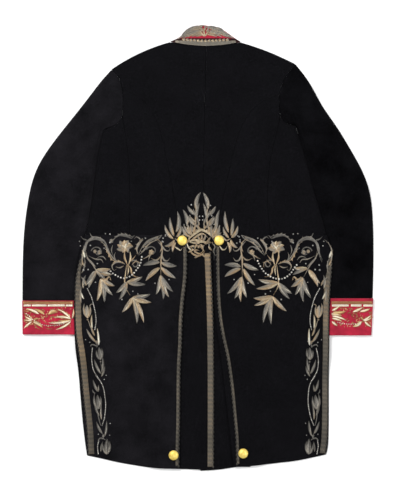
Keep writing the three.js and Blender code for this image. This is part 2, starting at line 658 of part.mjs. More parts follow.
// Goldwork: flat shapes in the plan, joined, laid over the cloth.
function leaf([x0, y0], [x1, y1], wide, bend = 0) {
  const [dx, dy] = [x1 - x0, y1 - y0];
  const long = Math.hypot(dx, dy);
  const [nx, ny] = [-dy / long, dx / long];
  const place = (t, side) => {
    const away = bend * long * 4 * t * (1 - t) + (side * wide * Math.sin(Math.PI * t ** 0.8)) / 2;
    return at(x0 + dx * t + nx * away, y0 + dy * t + ny * away);
  };
  const stops = wide > 8.5 || long > 30 ? [0.3, 0.7] : [0.5];
  const [near, far] = [stops.map((t) => place(t, -1)), reversed(stops).map((t) => place(t, 1))];
  return plate([place(0, 0), ...near, place(1, 0), ...far], GOLDWORK);
}

function stem(points, wide, cells = 2) {
  const count = (points.length - 1) * cells;
  const list = smoothPath(points).getPoints(count);
  const rows = list.map((p, i) => {
    const run = list[Math.min(count, i + 1)].clone().sub(list[Math.max(0, i - 1)]).normalize();
    return [1, -1].map((side) => at(p.x - (run.y * side * wide) / 2, p.y + (run.x * side * wide) / 2));
  });
  return plate([...rows.map((r) => r[0]), ...reversed(rows.map((r) => r[1]))], GOLDWORK);
}

function disc([x, y], radius, sides = 8) {
  const round = span(sides).slice(0, -1).map((t) => t * 2 * Math.PI);
  return plate(round.map((a) => at(x + radius * Math.cos(a), y + radius * Math.sin(a))), GOLDWORK);
}

const spray = ({ hub, tips, wide }) => [
  disc(hub, wide * 0.45, 6),
  ...tips.map((tip) => leaf(hub, tip, wide)),
];

function addGoldwork(name, shapes, reach = 14) {
  const geometry = joined(shapes);
  const place = geometry.getAttribute("position");
  for (let i = 0; i < place.count; i++)
    place.setZ(i, place.getZ(i) + seat(place.getX(i), place.getY(i), reach) + 0.3);
  addPiece(name, onGrid(geometry), BULLION);
}

// A stem through a list of hubs keeps each embroidery in one piece.
const CROWN = {
  stems: [
    { through: [[-7, 70], [-7, 30], [-7, -6]], wide: 4 },
    { through: [[-66, 0], [-40, 12], [-7, 18], [26, 12], [58, 2]], wide: 3.5 },
    { through: [[-24, 62], [-7, 54], [10, 62]], wide: 3.5 },
  ],
  sprays: [
    { hub: [-66, 0], tips: [[-50, 55], [-61, 52], [-75, 37], [-88, 22], [-87, -22], [-74, -34]], wide: 8 },
    { hub: [58, 2], tips: [[32, 53], [45, 50], [59, 38], [72, 20], [71, -22], [60, -34]], wide: 8 },
    { hub: [-24, 62], tips: [[-9, 94], [-38, 64], [-37, 44]], wide: 8 },
    { hub: [10, 62], tips: [[-5, 94], [24, 62], [20, 40]], wide: 8 },
    { hub: [-7, 40], tips: [[-12, 68], [-2, 68], [-28, 24], [14, 24]], wide: 7 },
  ],
  roundel: { at: [-7, -20], radius: 17 },
};

// reach is how far round it the work clears the cloth; the right tail has the steeper rise.
const TAIL_GOLDWORK = {
  left: {
    reach: 14,
    flower: [-176, -30],
    sprays: [
      { hub: [-98, -62], tips: [[-137, -67], [-130, -101], [-62, -68], [-66, -94]], wide: 9 },
      { hub: [-98, -86], tips: [[-108, -131], [-92, -141], [-79, -136], [-70, -126]], wide: 9 },
      { hub: [-172, -103], tips: [[-138, -92], [-131, -108], [-196, -126], [-190, -141]], wide: 10 },
      {
        hub: [-161, -136],
        tips: [[-122, -131], [-119, -147], [-182, -170], [-150, -194], [-136, -192]],
        wide: 10,
      },
      { hub: [-236, -78], tips: [[-253, -114], [-212, -76], [-250, -52]], wide: 9 },
      { hub: [-230, -96], tips: [[-198, -112], [-204, -133], [-221, -147], [-238, -144]], wide: 9 },
    ],
    stems: [
      {
        through: [[-98, -86], [-98, -62], [-118, -32], [-176, -30], [-237, -42], [-236, -78], [-230, -96]],
        wide: 4,
      },
      {
        through: [[-138, -46], [-146, -70], [-168, -92], [-196, -89], [-215, -66], [-237, -42]],
        wide: 3.4,
      },
      { through: [[-176, -30], [-176, -70], [-172, -103], [-161, -136]], wide: 3.6 },
      { through: [[-118, -32], [-128, -38], [-138, -46]], wide: 3.4 },
    ],
    rings: [{ at: [-237, -42], radius: 12 }, { at: [-118, -32], radius: 10 }],
  },
  right: {
    reach: 25,
    flower: [155, -31],
    sprays: [
      { hub: [83, -60], tips: [[43, -66], [45, -91], [118, -77], [109, -110]], wide: 9 },
      { hub: [82, -91], tips: [[51, -128], [66, -139], [80, -145], [91, -135]], wide: 9 },
      { hub: [161, -106], tips: [[118, -100], [113, -118], [192, -128], [186, -141]], wide: 10 },
      {
        hub: [151, -137],
        tips: [[108, -140], [108, -154], [128, -193], [146, -197], [180, -167]],
        wide: 10,
      },
      { hub: [225, -74], tips: [[194, -73], [253, -106], [248, -114]], wide: 9 },
      { hub: [222, -92], tips: [[191, -114], [199, -133], [217, -148], [232, -140]], wide: 9 },
    ],
    stems: [
      {
        through: [[82, -91], [83, -60], [101, -37], [155, -31], [223, -37], [225, -74], [222, -92]],
        wide: 4,
      },
      {
        through: [[101, -37], [124, -76], [147, -92], [168, -97], [194, -83], [210, -60], [223, -37]],
        wide: 3.4,
      },
      { through: [[155, -31], [160, -70], [161, -106], [151, -137]], wide: 3.6 },
    ],
    rings: [{ at: [223, -37], radius: 12 }, { at: [101, -37], radius: 10 }],
  },
};

function ring({ at: [x, y], radius }) {
  const hole = disc([x, y], radius - 4, 10).translate(0, 0, -0.5).scale(1, 1, 9);
  return geometryOf(solidOf(disc([x, y], radius, 10)).subtract(solidOf(hole)));
}

// The vine beside the edge lace: a stem that swings, and sprigs of a bud over a pair of leaves. Its
// places are measured in from the front edge of the tail, and from the waist seam.
const VINE = {
  stem: [
    [28, -117], [43, -155], [47, -190], [44, -236], [34, -246], [29, -276], [37, -312], [46, -326],
    [50, -366], [43, -408], [37, -442], [27, -450], [25, -479],
  ],
  sprigs: [
    { root: [44, -236], bud: [[30, -184], [27, -151]], pair: [[27, -208], [50, -206]] },
    { root: [46, -326], bud: [[48, -279], [48, -246]], pair: [[35, -276], [56, -292]] },
    { root: [38, -434], bud: [[31, -386], [31, -348]], pair: [[25, -415], [47, -412]] },
    { root: [37, -442], bud: [[46, -450], [44, -484]], pair: [] },
  ],
};

function vineShapes(side, root) {
  const place = ([inset, y]) => [xAt(side.frontLine, y) - side.sign * inset, y];
  const shapes = [stem([root, ...VINE.stem.map(place)], 3.2, 3)];
  for (const { root: low, bud, pair } of VINE.sprigs) {
    const [from, foot, tip] = [low, ...bud].map(place);
    const heart = [lerp(foot[0], tip[0], 0.2), lerp(foot[1], tip[1], 0.2)];
    shapes.push(stem([from, foot, heart], 2.6), leaf(foot, tip, 12));
    shapes.push(...pair.map((end) => leaf(from, place(end), 6)));
  }
  return shapes;
}

function addTailGoldwork(sideName) {
  const side = PLAN[sideName];
  const { reach, flower, sprays, stems, rings } = TAIL_GOLDWORK[sideName];
  const petals = span(6).slice(1).map((t) => t * 2 * Math.PI);
  const shapes = [
    ...stems.map(({ through, wide }) => stem(through, wide)),
    ...sprays.flatMap(spray),
    ...rings.map(ring),
    disc(flower, 6),
    ...petals.map((a) => leaf(flower, [flower[0] + 14 * Math.cos(a), flower[1] + 14 * Math.sin(a)], 8)),
    ...vineShapes(side, sprays.at(-1).hub),
  ];
  addGoldwork(named("tail_embroidery", sideName), shapes, reach);
}

// Cuff embroidery: a band of lace along the top edge, and two leaf sprays below it.
const CUFF_LACE = { drop: 4, deep: 11 };
const CUFF_SPRAYS = [
  { from: 0.14, down: 43, tips: [[-12, 12], [14, 13], [-12, -13], [14, -14]] },
  { from: 0.95, down: 42, tips: [[30, 2], [30, 20], [24, 11], [14, 20], [26, -9]] },
];

function addCuffGoldwork(sideName) {
  const { sign, cuff } = PLAN[sideName];
  const y = cuff.top - CUFF_LACE.drop;
  const place = (s) => lerp(cuff.outer[0] - sign * 7, cuff.shown, s);
  const low = y - CUFF_LACE.deep;
  const shapes = [plate([at(place(0), y), at(place(0), low), at(place(1), low), at(place(1), y)], GOLDWORK)];
  for (const { from, down, tips } of CUFF_SPRAYS) {
    const hub = [place(from), cuff.top - down];
    const ends = tips.map(([dx, dy]) => [hub[0] + sign * dx, hub[1] + dy]);
    shapes.push(disc(hub, 3.2, 6), ...ends.map((tip) => leaf(hub, tip, 7)));
    shapes.push(stem([[hub[0], y - 6], hub], 3));
  }
  addGoldwork(named("cuff_embroidery", sideName), shapes);
}

// Collar embroidery: lace along the seam to the neck, and leaves that spread over the stand.
const COLLAR_LACE = { from: 1.6, deep: 10.5 };
const COLLAR_FOOT = 424;
const COLLAR_LEAVES = [
  { foot: -8, tip: [-40, 441] },
  { foot: -4, tip: [-29, 449] },
  { foot: 0, tip: [-14, 456] },
  { foot: 4, tip: [2, 457] },
  { foot: 8, tip: [18, 454] },
  { foot: 12, tip: [33, 449] },
  { foot: 16, tip: [45, 440] },
];

function addCollarGoldwork() {
  const along = span(14).map((t) => lerp(-70, 72, t));
  const low = along.map((x) => at(x, yAt(NECK, x) + COLLAR.seam + COLLAR_LACE.from));
  const deepAt = (x) => COLLAR_LACE.deep * (x > 62 ? 0.35 : x > 52 ? 0.8 : 1);
  const up = (p) => at(p.x, p.y + deepAt(Math.abs(p.x)));
  const band = low.slice(1).map((p, i) => {
    const q = low[i];
    return plate([q, p, up(p), up(q)], GOLDWORK);
  });
  const leaves = COLLAR_LEAVES.map(({ foot, tip }) => leaf([foot, COLLAR_FOOT], tip, 7));
  addGoldwork("collar_embroidery", [...band, ...leaves]);
}

// Buttons: a plain dome on a low foot.
const BUTTONS = {
  waist_button_left: [-50, -12],
  waist_button_right: [31, -12],
  hem_button_left: [-69, -484],
  hem_button_right: [84, -480],
};

function addButton(name, [x, y]) {
  const { radius, high } = BUTTON;
  const dome = span(4).map((t) => {
    const a = (t * Math.PI) / 2;
    return new THREE.Vector2(radius * Math.cos(a), 2.6 + (high - 2.6) * Math.sin(a));
  });
  const foot = [[0, 0], [radius - 2.4, 0], [radius, 1.6]].map((p) => new THREE.Vector2(...p));
  const profile = [...foot, ...dome];
  profile.at(-1).x = 0;
  const lathe = new THREE.LatheGeometry(profile, 14).rotateX(Math.PI / 2);
  const carriers = coat.children.slice();
  const turns = span(12).map((t) => 2 * Math.PI * t);
  const heights = [0, 4, 8, radius].flatMap((r) =>
    turns.map((a) => surface(x + r * Math.cos(a), y + r * Math.sin(a), carriers)),
  );
  addPiece(name, lathe.translate(x, y, Math.max(...heights) + LAYER), GILT);
}

for (const sideName of ["left", "right"]) {
  addBack(sideName);
  addSideBody(sideName);
  addFront(sideName);
  addTail(sideName);
  addTopSleeve(sideName);
  addUnderSleeve(sideName);
  addCuff(sideName);
}
addCollar();
coat.children.forEach((piece) => (piece.userData.cloth = true));
coat.updateMatrixWorld(true);

const vent = line(PLAN.left.vent, 40);
addLace("centre_braid", between(vent, -42, -512, 20), -BRAID.wide - 0.8, -0.8);
addLace("pleat_braid_left", between(PLAN.left.foldLine, -28, -509, 18), -BRAID.narrow - 0.8, -0.8);
addLace("pleat_braid_right", between(PLAN.right.foldLine, -28, -504, 18), 2.5, BRAID.narrow + 2.5);
const [leftFront, rightFront] = [PLAN.left.frontLine, PLAN.right.frontLine];
addLace("edge_braid_left", between(leftFront, -5, -484, 22), 2.6, BRAID.wide + 2.6, slenderTop);
addLace("edge_braid_right", between(rightFront, -5, -482, 22), -2.6, -BRAID.wide - 2.6, slenderTop);
addGoldwork("crown_embroidery", [
  ...CROWN.stems.map(({ through, wide }) => stem(through, wide)),
  ...CROWN.sprays.flatMap(spray),
  ring(CROWN.roundel),
]);
for (const sideName of ["left", "right"]) {
  addTailGoldwork(sideName);
  addCuffGoldwork(sideName);
}
addCollarGoldwork();
for (const [name, place] of Object.entries(BUTTONS)) addButton(name, place);

// The middle of the coat's box stands over the origin.
const box = new THREE.Box3().setFromObject(coat);
coat.position.set(-(box.min.x + box.max.x) / 2, -(box.min.y + box.max.y) / 2, 0);

export default coat;
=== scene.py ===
import math
import random

import bmesh
import bpy
import numpy as np
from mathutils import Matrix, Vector
from mathutils.bvhtree import BVHTree


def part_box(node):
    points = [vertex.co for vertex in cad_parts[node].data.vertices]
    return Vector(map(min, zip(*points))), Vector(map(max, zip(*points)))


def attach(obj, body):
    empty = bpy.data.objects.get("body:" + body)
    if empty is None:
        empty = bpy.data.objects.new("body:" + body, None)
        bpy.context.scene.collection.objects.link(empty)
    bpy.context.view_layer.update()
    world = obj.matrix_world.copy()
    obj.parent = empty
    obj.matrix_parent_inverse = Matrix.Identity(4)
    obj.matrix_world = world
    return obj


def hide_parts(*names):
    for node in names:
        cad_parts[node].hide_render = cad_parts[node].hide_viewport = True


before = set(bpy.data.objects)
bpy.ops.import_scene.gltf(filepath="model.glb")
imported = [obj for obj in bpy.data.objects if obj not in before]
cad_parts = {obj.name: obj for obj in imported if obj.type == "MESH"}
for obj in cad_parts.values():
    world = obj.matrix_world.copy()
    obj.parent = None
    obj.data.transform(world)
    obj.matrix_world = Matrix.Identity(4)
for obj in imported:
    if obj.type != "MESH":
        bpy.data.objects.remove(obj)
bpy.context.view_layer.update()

# ---------- The table, the light and the place that the coat is looked at from ----------
# The coat lies face down on a white table under two large soft lamps, and is seen from straight above.
# Plan measures are millimetres from the middle of the waist seam, as a cutter lays the pattern out.

PLAN_MIDDLE = (15.5, 28.25)  # from the waist seam's middle to the middle of the coat's box


def at(x, y, z=0.0):
    """A plan point in millimetres as a place on the table in metres."""
    return Vector(((x + PLAN_MIDDLE[0]) / 1000, (y + PLAN_MIDDLE[1]) / 1000, z / 1000))


def linear(code, alpha=1.0):
    """An sRGB hex colour as linear values."""
    parts = [int(code[i : i + 2], 16) / 255 for i in (1, 3, 5)]
    return (*(c / 12.92 if c <= 0.04045 else ((c + 0.055) / 1.055) ** 2.4 for c in parts), alpha)


# The lens and the sensor are in mm. The camera is height above the cloth, in metres.
VIEW = {"lens": 85, "sensor": 36, "height": 2.618, "at": at(0, -37.4), "cloth": 0.008}
camera_data = bpy.data.cameras.new("camera")
camera_data.lens = VIEW["lens"]
camera_data.sensor_width = VIEW["sensor"]
camera = bpy.data.objects.new("camera", camera_data)
camera.location = (VIEW["at"].x, VIEW["at"].y, VIEW["height"] + VIEW["cloth"])
bpy.context.scene.collection.objects.link(camera)
bpy.context.scene.camera = camera
bpy.context.scene.view_settings.view_transform = "Standard"

LAMPS = [
    {"name": "key_lamp", "at": (-0.95, 0.95, 1.9), "size": 0.9, "watts": 46},
    {"name": "fill_lamp", "at": (1.3, -0.5, 1.7), "size": 1.2, "watts": 17},
]
for lamp in LAMPS:
    light = bpy.data.lights.new(lamp["name"], "AREA")
    light.size = lamp["size"]
    light.energy = lamp["watts"]
    lit = bpy.data.objects.new(lamp["name"], light)
    lit.location = lamp["at"]
    lit.rotation_euler = (-Vector(lamp["at"])).to_track_quat("-Z", "Y").to_euler()
    bpy.context.scene.collection.objects.link(lit)
world = bpy.data.worlds.new("room")
bpy.context.scene.world = world
world.use_nodes = True
world.node_tree.nodes["Background"].inputs["Color"].default_value = linear("#ffffff")
world.node_tree.nodes["Background"].inputs["Strength"].default_value = 0.5

TABLE_SIZE = 3.2
table_mesh = bpy.data.meshes.new("table")
corners = [(-1, -1), (1, -1), (1, 1), (-1, 1)]
table_mesh.from_pydata([(TABLE_SIZE * x, TABLE_SIZE * y, -0.0004) for x, y in corners], [], [(0, 1, 2, 3)])
table = bpy.data.objects.new("table", table_mesh)
bpy.context.scene.collection.objects.link(table)
paper = bpy.data.materials.new("white_paper_table")
paper.use_nodes = True
paper.node_tree.nodes["Principled BSDF"].inputs["Base Color"].default_value = linear("#fbfbfb")
paper.node_tree.nodes["Principled BSDF"].inputs["Roughness"].default_value = 0.9
table.data.materials.append(paper)

# ---------- The wool body, tails and sleeves ----------
# Black milled wool, lined, cut in backs, side bodies, fronts, tails and two-part sleeves.
# Each piece keeps its cut and its seams; the creases of a coat that has been worn are pressed into it.


def crease(through, high, wide, soft=None):
    """A soft ridge, or a trough below zero: wide is its steeper side and soft the other, in mm."""
    return {"through": through, "high": high, "wide": wide, "soft": soft or wide}


CREASES = [
    # left sleeve, from the shoulder down
    crease([(-206, 262), (-258, 232), (-312, 186)], 4.2, 11, 26),
    crease([(-214, 238), (-226, 240), (-250, 236)], -2.2, 5, 9),
    crease([(-205, 246), (-262, 206), (-300, 150)], -2.4, 9, 16),
    crease([(-236, 318), (-262, 276), (-300, 236)], 1.6, 16, 22),
    crease([(-250, 186), (-290, 120), (-318, 40)], 1.9, 13, 26),
    crease([(-346, 170), (-368, 90), (-374, 10)], 1.5, 9, 20),
    crease([(-264, 98), (-300, 62), (-352, 40)], 1.6, 8, 18),
    crease([(-288, 10), (-318, -40), (-332, -104)], 1.4, 12, 20),
    crease([(-360, -20), (-366, -70), (-360, -120)], 1.2, 9, 14),
    crease([(-272, 44), (-300, 20), (-322, -14)], -1.3, 8, 14),
    # right sleeve
    crease([(188, 262), (226, 258), (288, 232)], 4.4, 9, 24),
    crease([(184, 244), (196, 216), (198, 184)], 2.6, 6, 14),
    crease([(200, 246), (238, 222), (292, 214)], -2.6, 6, 13),
    crease([(206, 214), (228, 160), (244, 96)], 2.8, 10, 20),
    crease([(222, 244), (262, 190), (290, 120)], 1.8, 12, 24),
    crease([(214, 330), (238, 296), (262, 258)], 1.8, 14, 20),
    crease([(318, 160), (336, 90), (340, 0)], 1.5, 10, 22),
    crease([(344, 92), (312, 70), (282, 58)], 1.7, 8, 16),
    crease([(280, 30), (300, -40), (306, -110)], 1.5, 12, 22),
    crease([(352, 6), (346, -50), (350, -110)], 1.1, 9, 15),
    # back, from the armholes towards the waist
    crease([(-118, 276), (-100, 226), (-84, 190)], -1.7, 8, 14),
    crease([(-150, 262), (-136, 200), (-116, 130)], 1.5, 12, 24),
    crease([(96, 322), (72, 280), (46, 246)], -1.8, 8, 15),
    crease([(118, 296), (110, 230), (92, 160)], 1.4, 12, 22),
    crease([(150, 240), (134, 190), (128, 130)], 1.5, 9, 20),
    crease([(-146, 120), (-120, 60), (-92, 30)], -1.0, 10, 22),
    crease([(112, 110), (96, 60), (66, 30)], -0.9, 10, 22),
    crease([(-60, 330), (-30, 270), (-26, 200)], 0.9, 22, 30),
    crease([(52, 372), (40, 300), (20, 240)], 0.8, 20, 28),
    crease([(-172, 352), (-120, 372), (-70, 384)], 0.9, 12, 26),
    crease([(64, 386), (118, 374), (160, 352)], 0.9, 12, 26),
    crease([(-232, 150), (-240, 90), (-250, 40)], 1.2, 7, 15),
    crease([(224, 148), (236, 90), (250, 36)], 1.2, 7, 15),
    # tails
    crease([(-102, -150), (-96, -300), (-104, -470)], 1.7, 14, 26),
    crease([(-122, -300), (-104, -372), (-92, -420)], 1.3, 8, 16),
    crease([(-186, -190), (-176, -330), (-186, -480)], 1.5, 16, 34),
    crease([(-226, -300), (-222, -400), (-228, -470)], 1.1, 10, 20),
    crease([(104, -150), (120, -300), (138, -480)], 1.8, 14, 26),
    crease([(90, -250), (104, -360), (112, -440)], 1.2, 8, 16),
    crease([(176, -190), (196, -330), (200, -470)], 1.5, 16, 32),
    crease([(226, -260), (232, -380), (226, -450)], 1.0, 10, 20),
    crease([(40, -120), (60, -260), (72, -380)], 1.0, 10, 18),
]


def smooth_line(points, count):
    """Evenly spread points on a smooth line through plan points."""
    p = np.array([(2 * points[0][0] - points[1][0], 2 * points[0][1] - points[1][1]), *points,
                  (2 * points[-1][0] - points[-2][0], 2 * points[-1][1] - points[-2][1])], float)
    fine = []
    for i in range(len(points) - 1):
        a, b, c, d = p[i : i + 4]
        for t in np.linspace(0, 1, 16, endpoint=i == len(points) - 2):
            fine.append(0.5 * (2 * b + (c - a) * t + (2 * a - 5 * b + 4 * c - d) * t**2
                               + (3 * b - a - 3 * c + d) * t**3))
    fine = np.array(fine)
    run = np.concatenate([[0], np.cumsum(np.hypot(*np.diff(fine, axis=0).T))])
    want = np.linspace(0, run[-1], count)
    return np.stack([np.interp(want, run, fine[:, k]) for k in (0, 1)], 1)


def ramp(t):
    """A smooth step from 0 to 1 as t goes from 0 to 1."""
    t = np.clip(t, 0, 1)
    return t * t * (3 - 2 * t)


def creased(x, y, stops=28):
    """How far the creases lift the cloth at plan points, in mm."""
    lift = np.zeros_like(x)
    for row in CREASES:
        path = smooth_line(row["through"], stops)
        reach = 3 * row["soft"]
        low, top = path.min(0) - reach, path.max(0) + reach
        near = np.flatnonzero((x > low[0]) & (x < top[0]) & (y > low[1]) & (y < top[1]))
        if not len(near):
            continue
        gap = np.stack([x[near], y[near]], 1)[:, None] - path
        far = np.hypot(gap[..., 0], gap[..., 1])
        pick = far.argmin(1)
        run = np.gradient(path, axis=0)[pick]
        off = gap[np.arange(len(near)), pick]
        side = run[:, 0] * off[:, 1] - run[:, 1] * off[:, 0]
        wide = np.where(side > 0, row["wide"], row["soft"])
        along = np.sin(np.pi * (pick + 0.5) / stops) ** 0.7
        lift[near] += row["high"] * along * np.exp(-((far.min(1) / wide) ** 2))
    return lift


RIPPLES = {"count": 14, "long": (38, 96), "high": 0.16, "seed": 5}
ripple_draw = random.Random(RIPPLES["seed"])
# The way, the length in mm and the start of each wave.
ripple_rows = [(ripple_draw.uniform(0, math.pi), ripple_draw.uniform(*RIPPLES["long"]),
                ripple_draw.uniform(0, math.tau)) for _ in range(RIPPLES["count"])]


def rippled(x, y):
    """The slight unevenness of cloth that lies loose, in mm."""
    waves = [np.sin((x * math.cos(turn) + y * math.sin(turn)) * math.tau / long + start)
             for turn, long, start in ripple_rows]
    return RIPPLES["high"] * np.sum(waves, 0)


# The edges that meet at a seam are drawn together: along the waist, and where a sleeve lies by the side.
WAIST_PULL = {"body": -0.95, "tail": 0.55, "reach": 5.0}
SIDE_EDGES = {
    "left": [(-224, 231), (-238, 167), (-245, 101), (-253, 46), (-263, 1)],
    "right": [(200, 240), (212, 200), (222, 167), (231, 134), (246, 75), (257, 40), (267, 1)],
}
# At the side the pull grows from low to full above the table, and fades out at the height high, at the
# armhole and at the waist.
SIDE_PULL = {"sleeve": 2.9, "body": 0.8, "reach": 9.0, "low": 1.6, "full": 4.0, "high": 9.5,
             "armhole": 236, "waist": -14}


def drawn(name, x, y, z):
    """Plan points of a piece, with the edges at its seams drawn to the next piece."""
    if name.startswith(("back", "side_body", "front")):
        y = y + WAIST_PULL["body"] * ramp(1 - np.abs(y - 1) / WAIST_PULL["reach"])
    if name.startswith("skirt"):
        y = y + WAIST_PULL["tail"] * ramp(1 - np.abs(y) / WAIST_PULL["reach"])
    if name.startswith(("top_sleeve", "front")):
        side_name = name.rsplit("_", 1)[1]
        side = -1 if side_name == "left" else 1
        edge = smooth_line(SIDE_EDGES[side_name], 60)
        away = side * (x - np.interp(-y, -edge[:, 1], edge[:, 0]))
        near = ramp(1 - np.abs(away) / SIDE_PULL["reach"])
        near = near * ramp((SIDE_PULL["armhole"] - y) / 20) * ramp((y - SIDE_PULL["waist"]) / 14)
        rise = ramp((z - SIDE_PULL["low"]) / (SIDE_PULL["full"] - SIDE_PULL["low"]))
        rise = rise * ramp((SIDE_PULL["high"] - z) / 3)
        pull = -SIDE_PULL["sleeve"] if name.startswith("top_sleeve") else SIDE_PULL["body"]
        x = x + side * pull * near * rise
    return x, y


SOFT_FROM, SOFT_TO = 2.3, 6.5  # mm above the table, between which a layer takes its share of a crease


def object_of(name, mesh, material):
    """A finished piece: it rides on the coat's one body and has its finish from a slot."""
    made = bpy.data.objects.new(name, mesh)
    bpy.context.scene.collection.objects.link(made)
    mesh.materials.clear()
    mesh.materials.append(material)
    for face in mesh.polygons:
        face.use_smooth = True
    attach(made, "root")
    return made


def subdivided(mesh, levels, hem=0.82, corner=0.7):
    """A mesh rounded by subdivision, with its hems and cut corners kept."""
    bm = bmesh.new()
    bm.from_mesh(mesh)
    bmesh.ops.remove_doubles(bm, verts=bm.verts, dist=2e-6)
    bmesh.ops.join_triangles(bm, faces=bm.faces, angle_face_threshold=0.9, angle_shape_threshold=1.2,
                             cmp_seam=False, cmp_sharp=False, cmp_uvs=False, cmp_vcols=False,
                             cmp_materials=False)
    crease_layer = bm.edges.layers.float.new("crease_edge")
    for edge in bm.edges:
        if edge.is_manifold and edge.calc_face_angle(0) > corner:
            edge[crease_layer] = hem
    bm.to_mesh(mesh)
    bm.free()
    holder = bpy.data.objects.new("holder", mesh)
    bpy.context.scene.collection.objects.link(holder)
    smoother = holder.modifiers.new("round", "SUBSURF")
    smoother.levels = smoother.render_levels = levels
    rounded = bpy.data.meshes.new_from_object(holder.evaluated_get(bpy.context.evaluated_depsgraph_get()))
    bpy.data.objects.remove(holder)
    return rounded


def cloth_piece(name, levels, material, lifted=False):
    """A CAD wall as cloth. lifted is for a single layer on the table, which rises with its ridges."""
    mesh = subdivided(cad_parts[name].data.copy(), levels)
    co = np.empty(len(mesh.vertices) * 3)
    mesh.vertices.foreach_get("co", co)
    co = co.reshape(-1, 3)
    x, y, z = co[:, 0] * 1000 - PLAN_MIDDLE[0], co[:, 1] * 1000 - PLAN_MIDDLE[1], co[:, 2] * 1000
    x, y = drawn(name, x, y, z)
    co[:, 0], co[:, 1] = (x + PLAN_MIDDLE[0]) / 1000, (y + PLAN_MIDDLE[1]) / 1000
    lift = creased(x, y) + rippled(x, y)
    share = ramp((z - SOFT_FROM) / (SOFT_TO - SOFT_FROM))
    risen = np.where(lift > 0, lift, lift * share) if lifted else lift * share
    co[:, 2] = np.maximum(z + risen, 0.0) / 1000
    mesh.vertices.foreach_set("co", co.ravel())
    mesh.update()
    made = object_of(name + "_cloth", mesh, material)
    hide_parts(name)
    return made


def node(tree, kind, inputs=(), **settings):
    """Adds a node with its settings; an input is a value, or a socket that is linked to it."""
    made = tree.nodes.new(kind)
    for name, value in settings.items():
        setattr(made, name, value)
    for name, value in dict(inputs).items():
        if isinstance(value, bpy.types.NodeSocket):
            tree.links.new(value, made.inputs[name])
        else:
            made.inputs[name].default_value = value
    return made


# In mm. The fibres and the twill of the real cloth are about a quarter of this, and are drawn coarser so
# that they show.
WOOL = {"cloud": 71.4, "fibre": 1.613, "twill": 1.496}


def wool_material(name, dark, light, bloomed, shine):
    """Milled wool: fibres lie in all ways over a close twill, so it is matt, with a faint grey bloom of
    lighter fibres. Each copy is painted lighter or darker, in colour, sheen and gloss, for the light that
    falls on the pieces that wear it."""
    made = bpy.data.materials.new(name)
    made.use_nodes = True
    tree = made.node_tree
    shader = tree.nodes["Principled BSDF"]
    place = node(tree, "ShaderNodeTexCoord").outputs["Object"]
    cloud = node(tree, "ShaderNodeTexNoise", {"Vector": place, "Scale": 1000 / WOOL["cloud"], "Detail": 4,
                                               "Roughness": 0.62})
    fibre = node(tree, "ShaderNodeTexNoise", {"Vector": place, "Scale": 1000 / WOOL["fibre"], "Detail": 3,
                                               "Roughness": 0.7})
    shade = node(tree, "ShaderNodeValToRGB", {"Fac": cloud.outputs["Fac"]})
    shade.color_ramp.elements[0].position = 0.32
    shade.color_ramp.elements[0].color = linear(dark)
    shade.color_ramp.elements[1].position = 0.72
    shade.color_ramp.elements[1].color = linear(light)
    bloom = node(tree, "ShaderNodeValToRGB", {"Fac": fibre.outputs["Fac"]})
    bloom.color_ramp.elements[0].position = 0.45
    bloom.color_ramp.elements[0].color = linear("#000000")
    bloom.color_ramp.elements[1].position = 0.8
    bloom.color_ramp.elements[1].color = linear(bloomed)
    nap = node(tree, "ShaderNodeVectorMath", {0: shade.outputs["Color"], 1: bloom.outputs["Color"]},
               operation="ADD")
    tree.links.new(nap.outputs["Vector"], shader.inputs["Base Color"])
    # A wave of scale 1 repeats every tau / 20 units, and a unit of Object coordinates is a metre.
    twill = node(tree, "ShaderNodeTexWave", {
        "Vector": place, "Scale": math.tau / 20 * 1000 / WOOL["twill"], "Distortion": 2.2, "Detail": 2,
        "Detail Scale": 2.5}, bands_direction="DIAGONAL")
    hair = node(tree, "ShaderNodeMath", {0: fibre.outputs["Fac"], 1: 1.6}, operation="MULTIPLY")
    height = node(tree, "ShaderNodeMath", {0: hair.outputs[0], 1: twill.outputs["Fac"]}, operation="ADD")
    bump = node(tree, "ShaderNodeBump", {"Strength": 0.3, "Distance": 0.0004,
                                         "Height": height.outputs[0]})
    tree.links.new(bump.outputs["Normal"], shader.inputs["Normal"])
    shader.inputs["Roughness"].default_value = 0.95
    shader.inputs["Specular IOR Level"].default_value = 0.1 * shine
    shader.inputs["Sheen Weight"].default_value = 0.03 * shine
    shader.inputs["Sheen Roughness"].default_value = 0.5
    shader.inputs["Sheen Tint"].default_value = linear("#c8c6d0")
    return made


# Lit and shaded copies of one wool, which is painted light: towards is the painted lit copy, across the
# painted half-lit one and away the painted shaded one, each with its own colours, sheen and gloss.
WOOLS = {
    "towards": wool_material("milled_black_wool_painted_lit", "#010102", "#131215", "#1a191d", 0.85),
    "across": wool_material("milled_black_wool_painted_half_lit", "#020203", "#060608", "#17161a", 0.7),
    "away": wool_material("milled_black_wool_painted_shaded", "#000000", "#0a0a0c", "#0f0e12", 0.35),
}
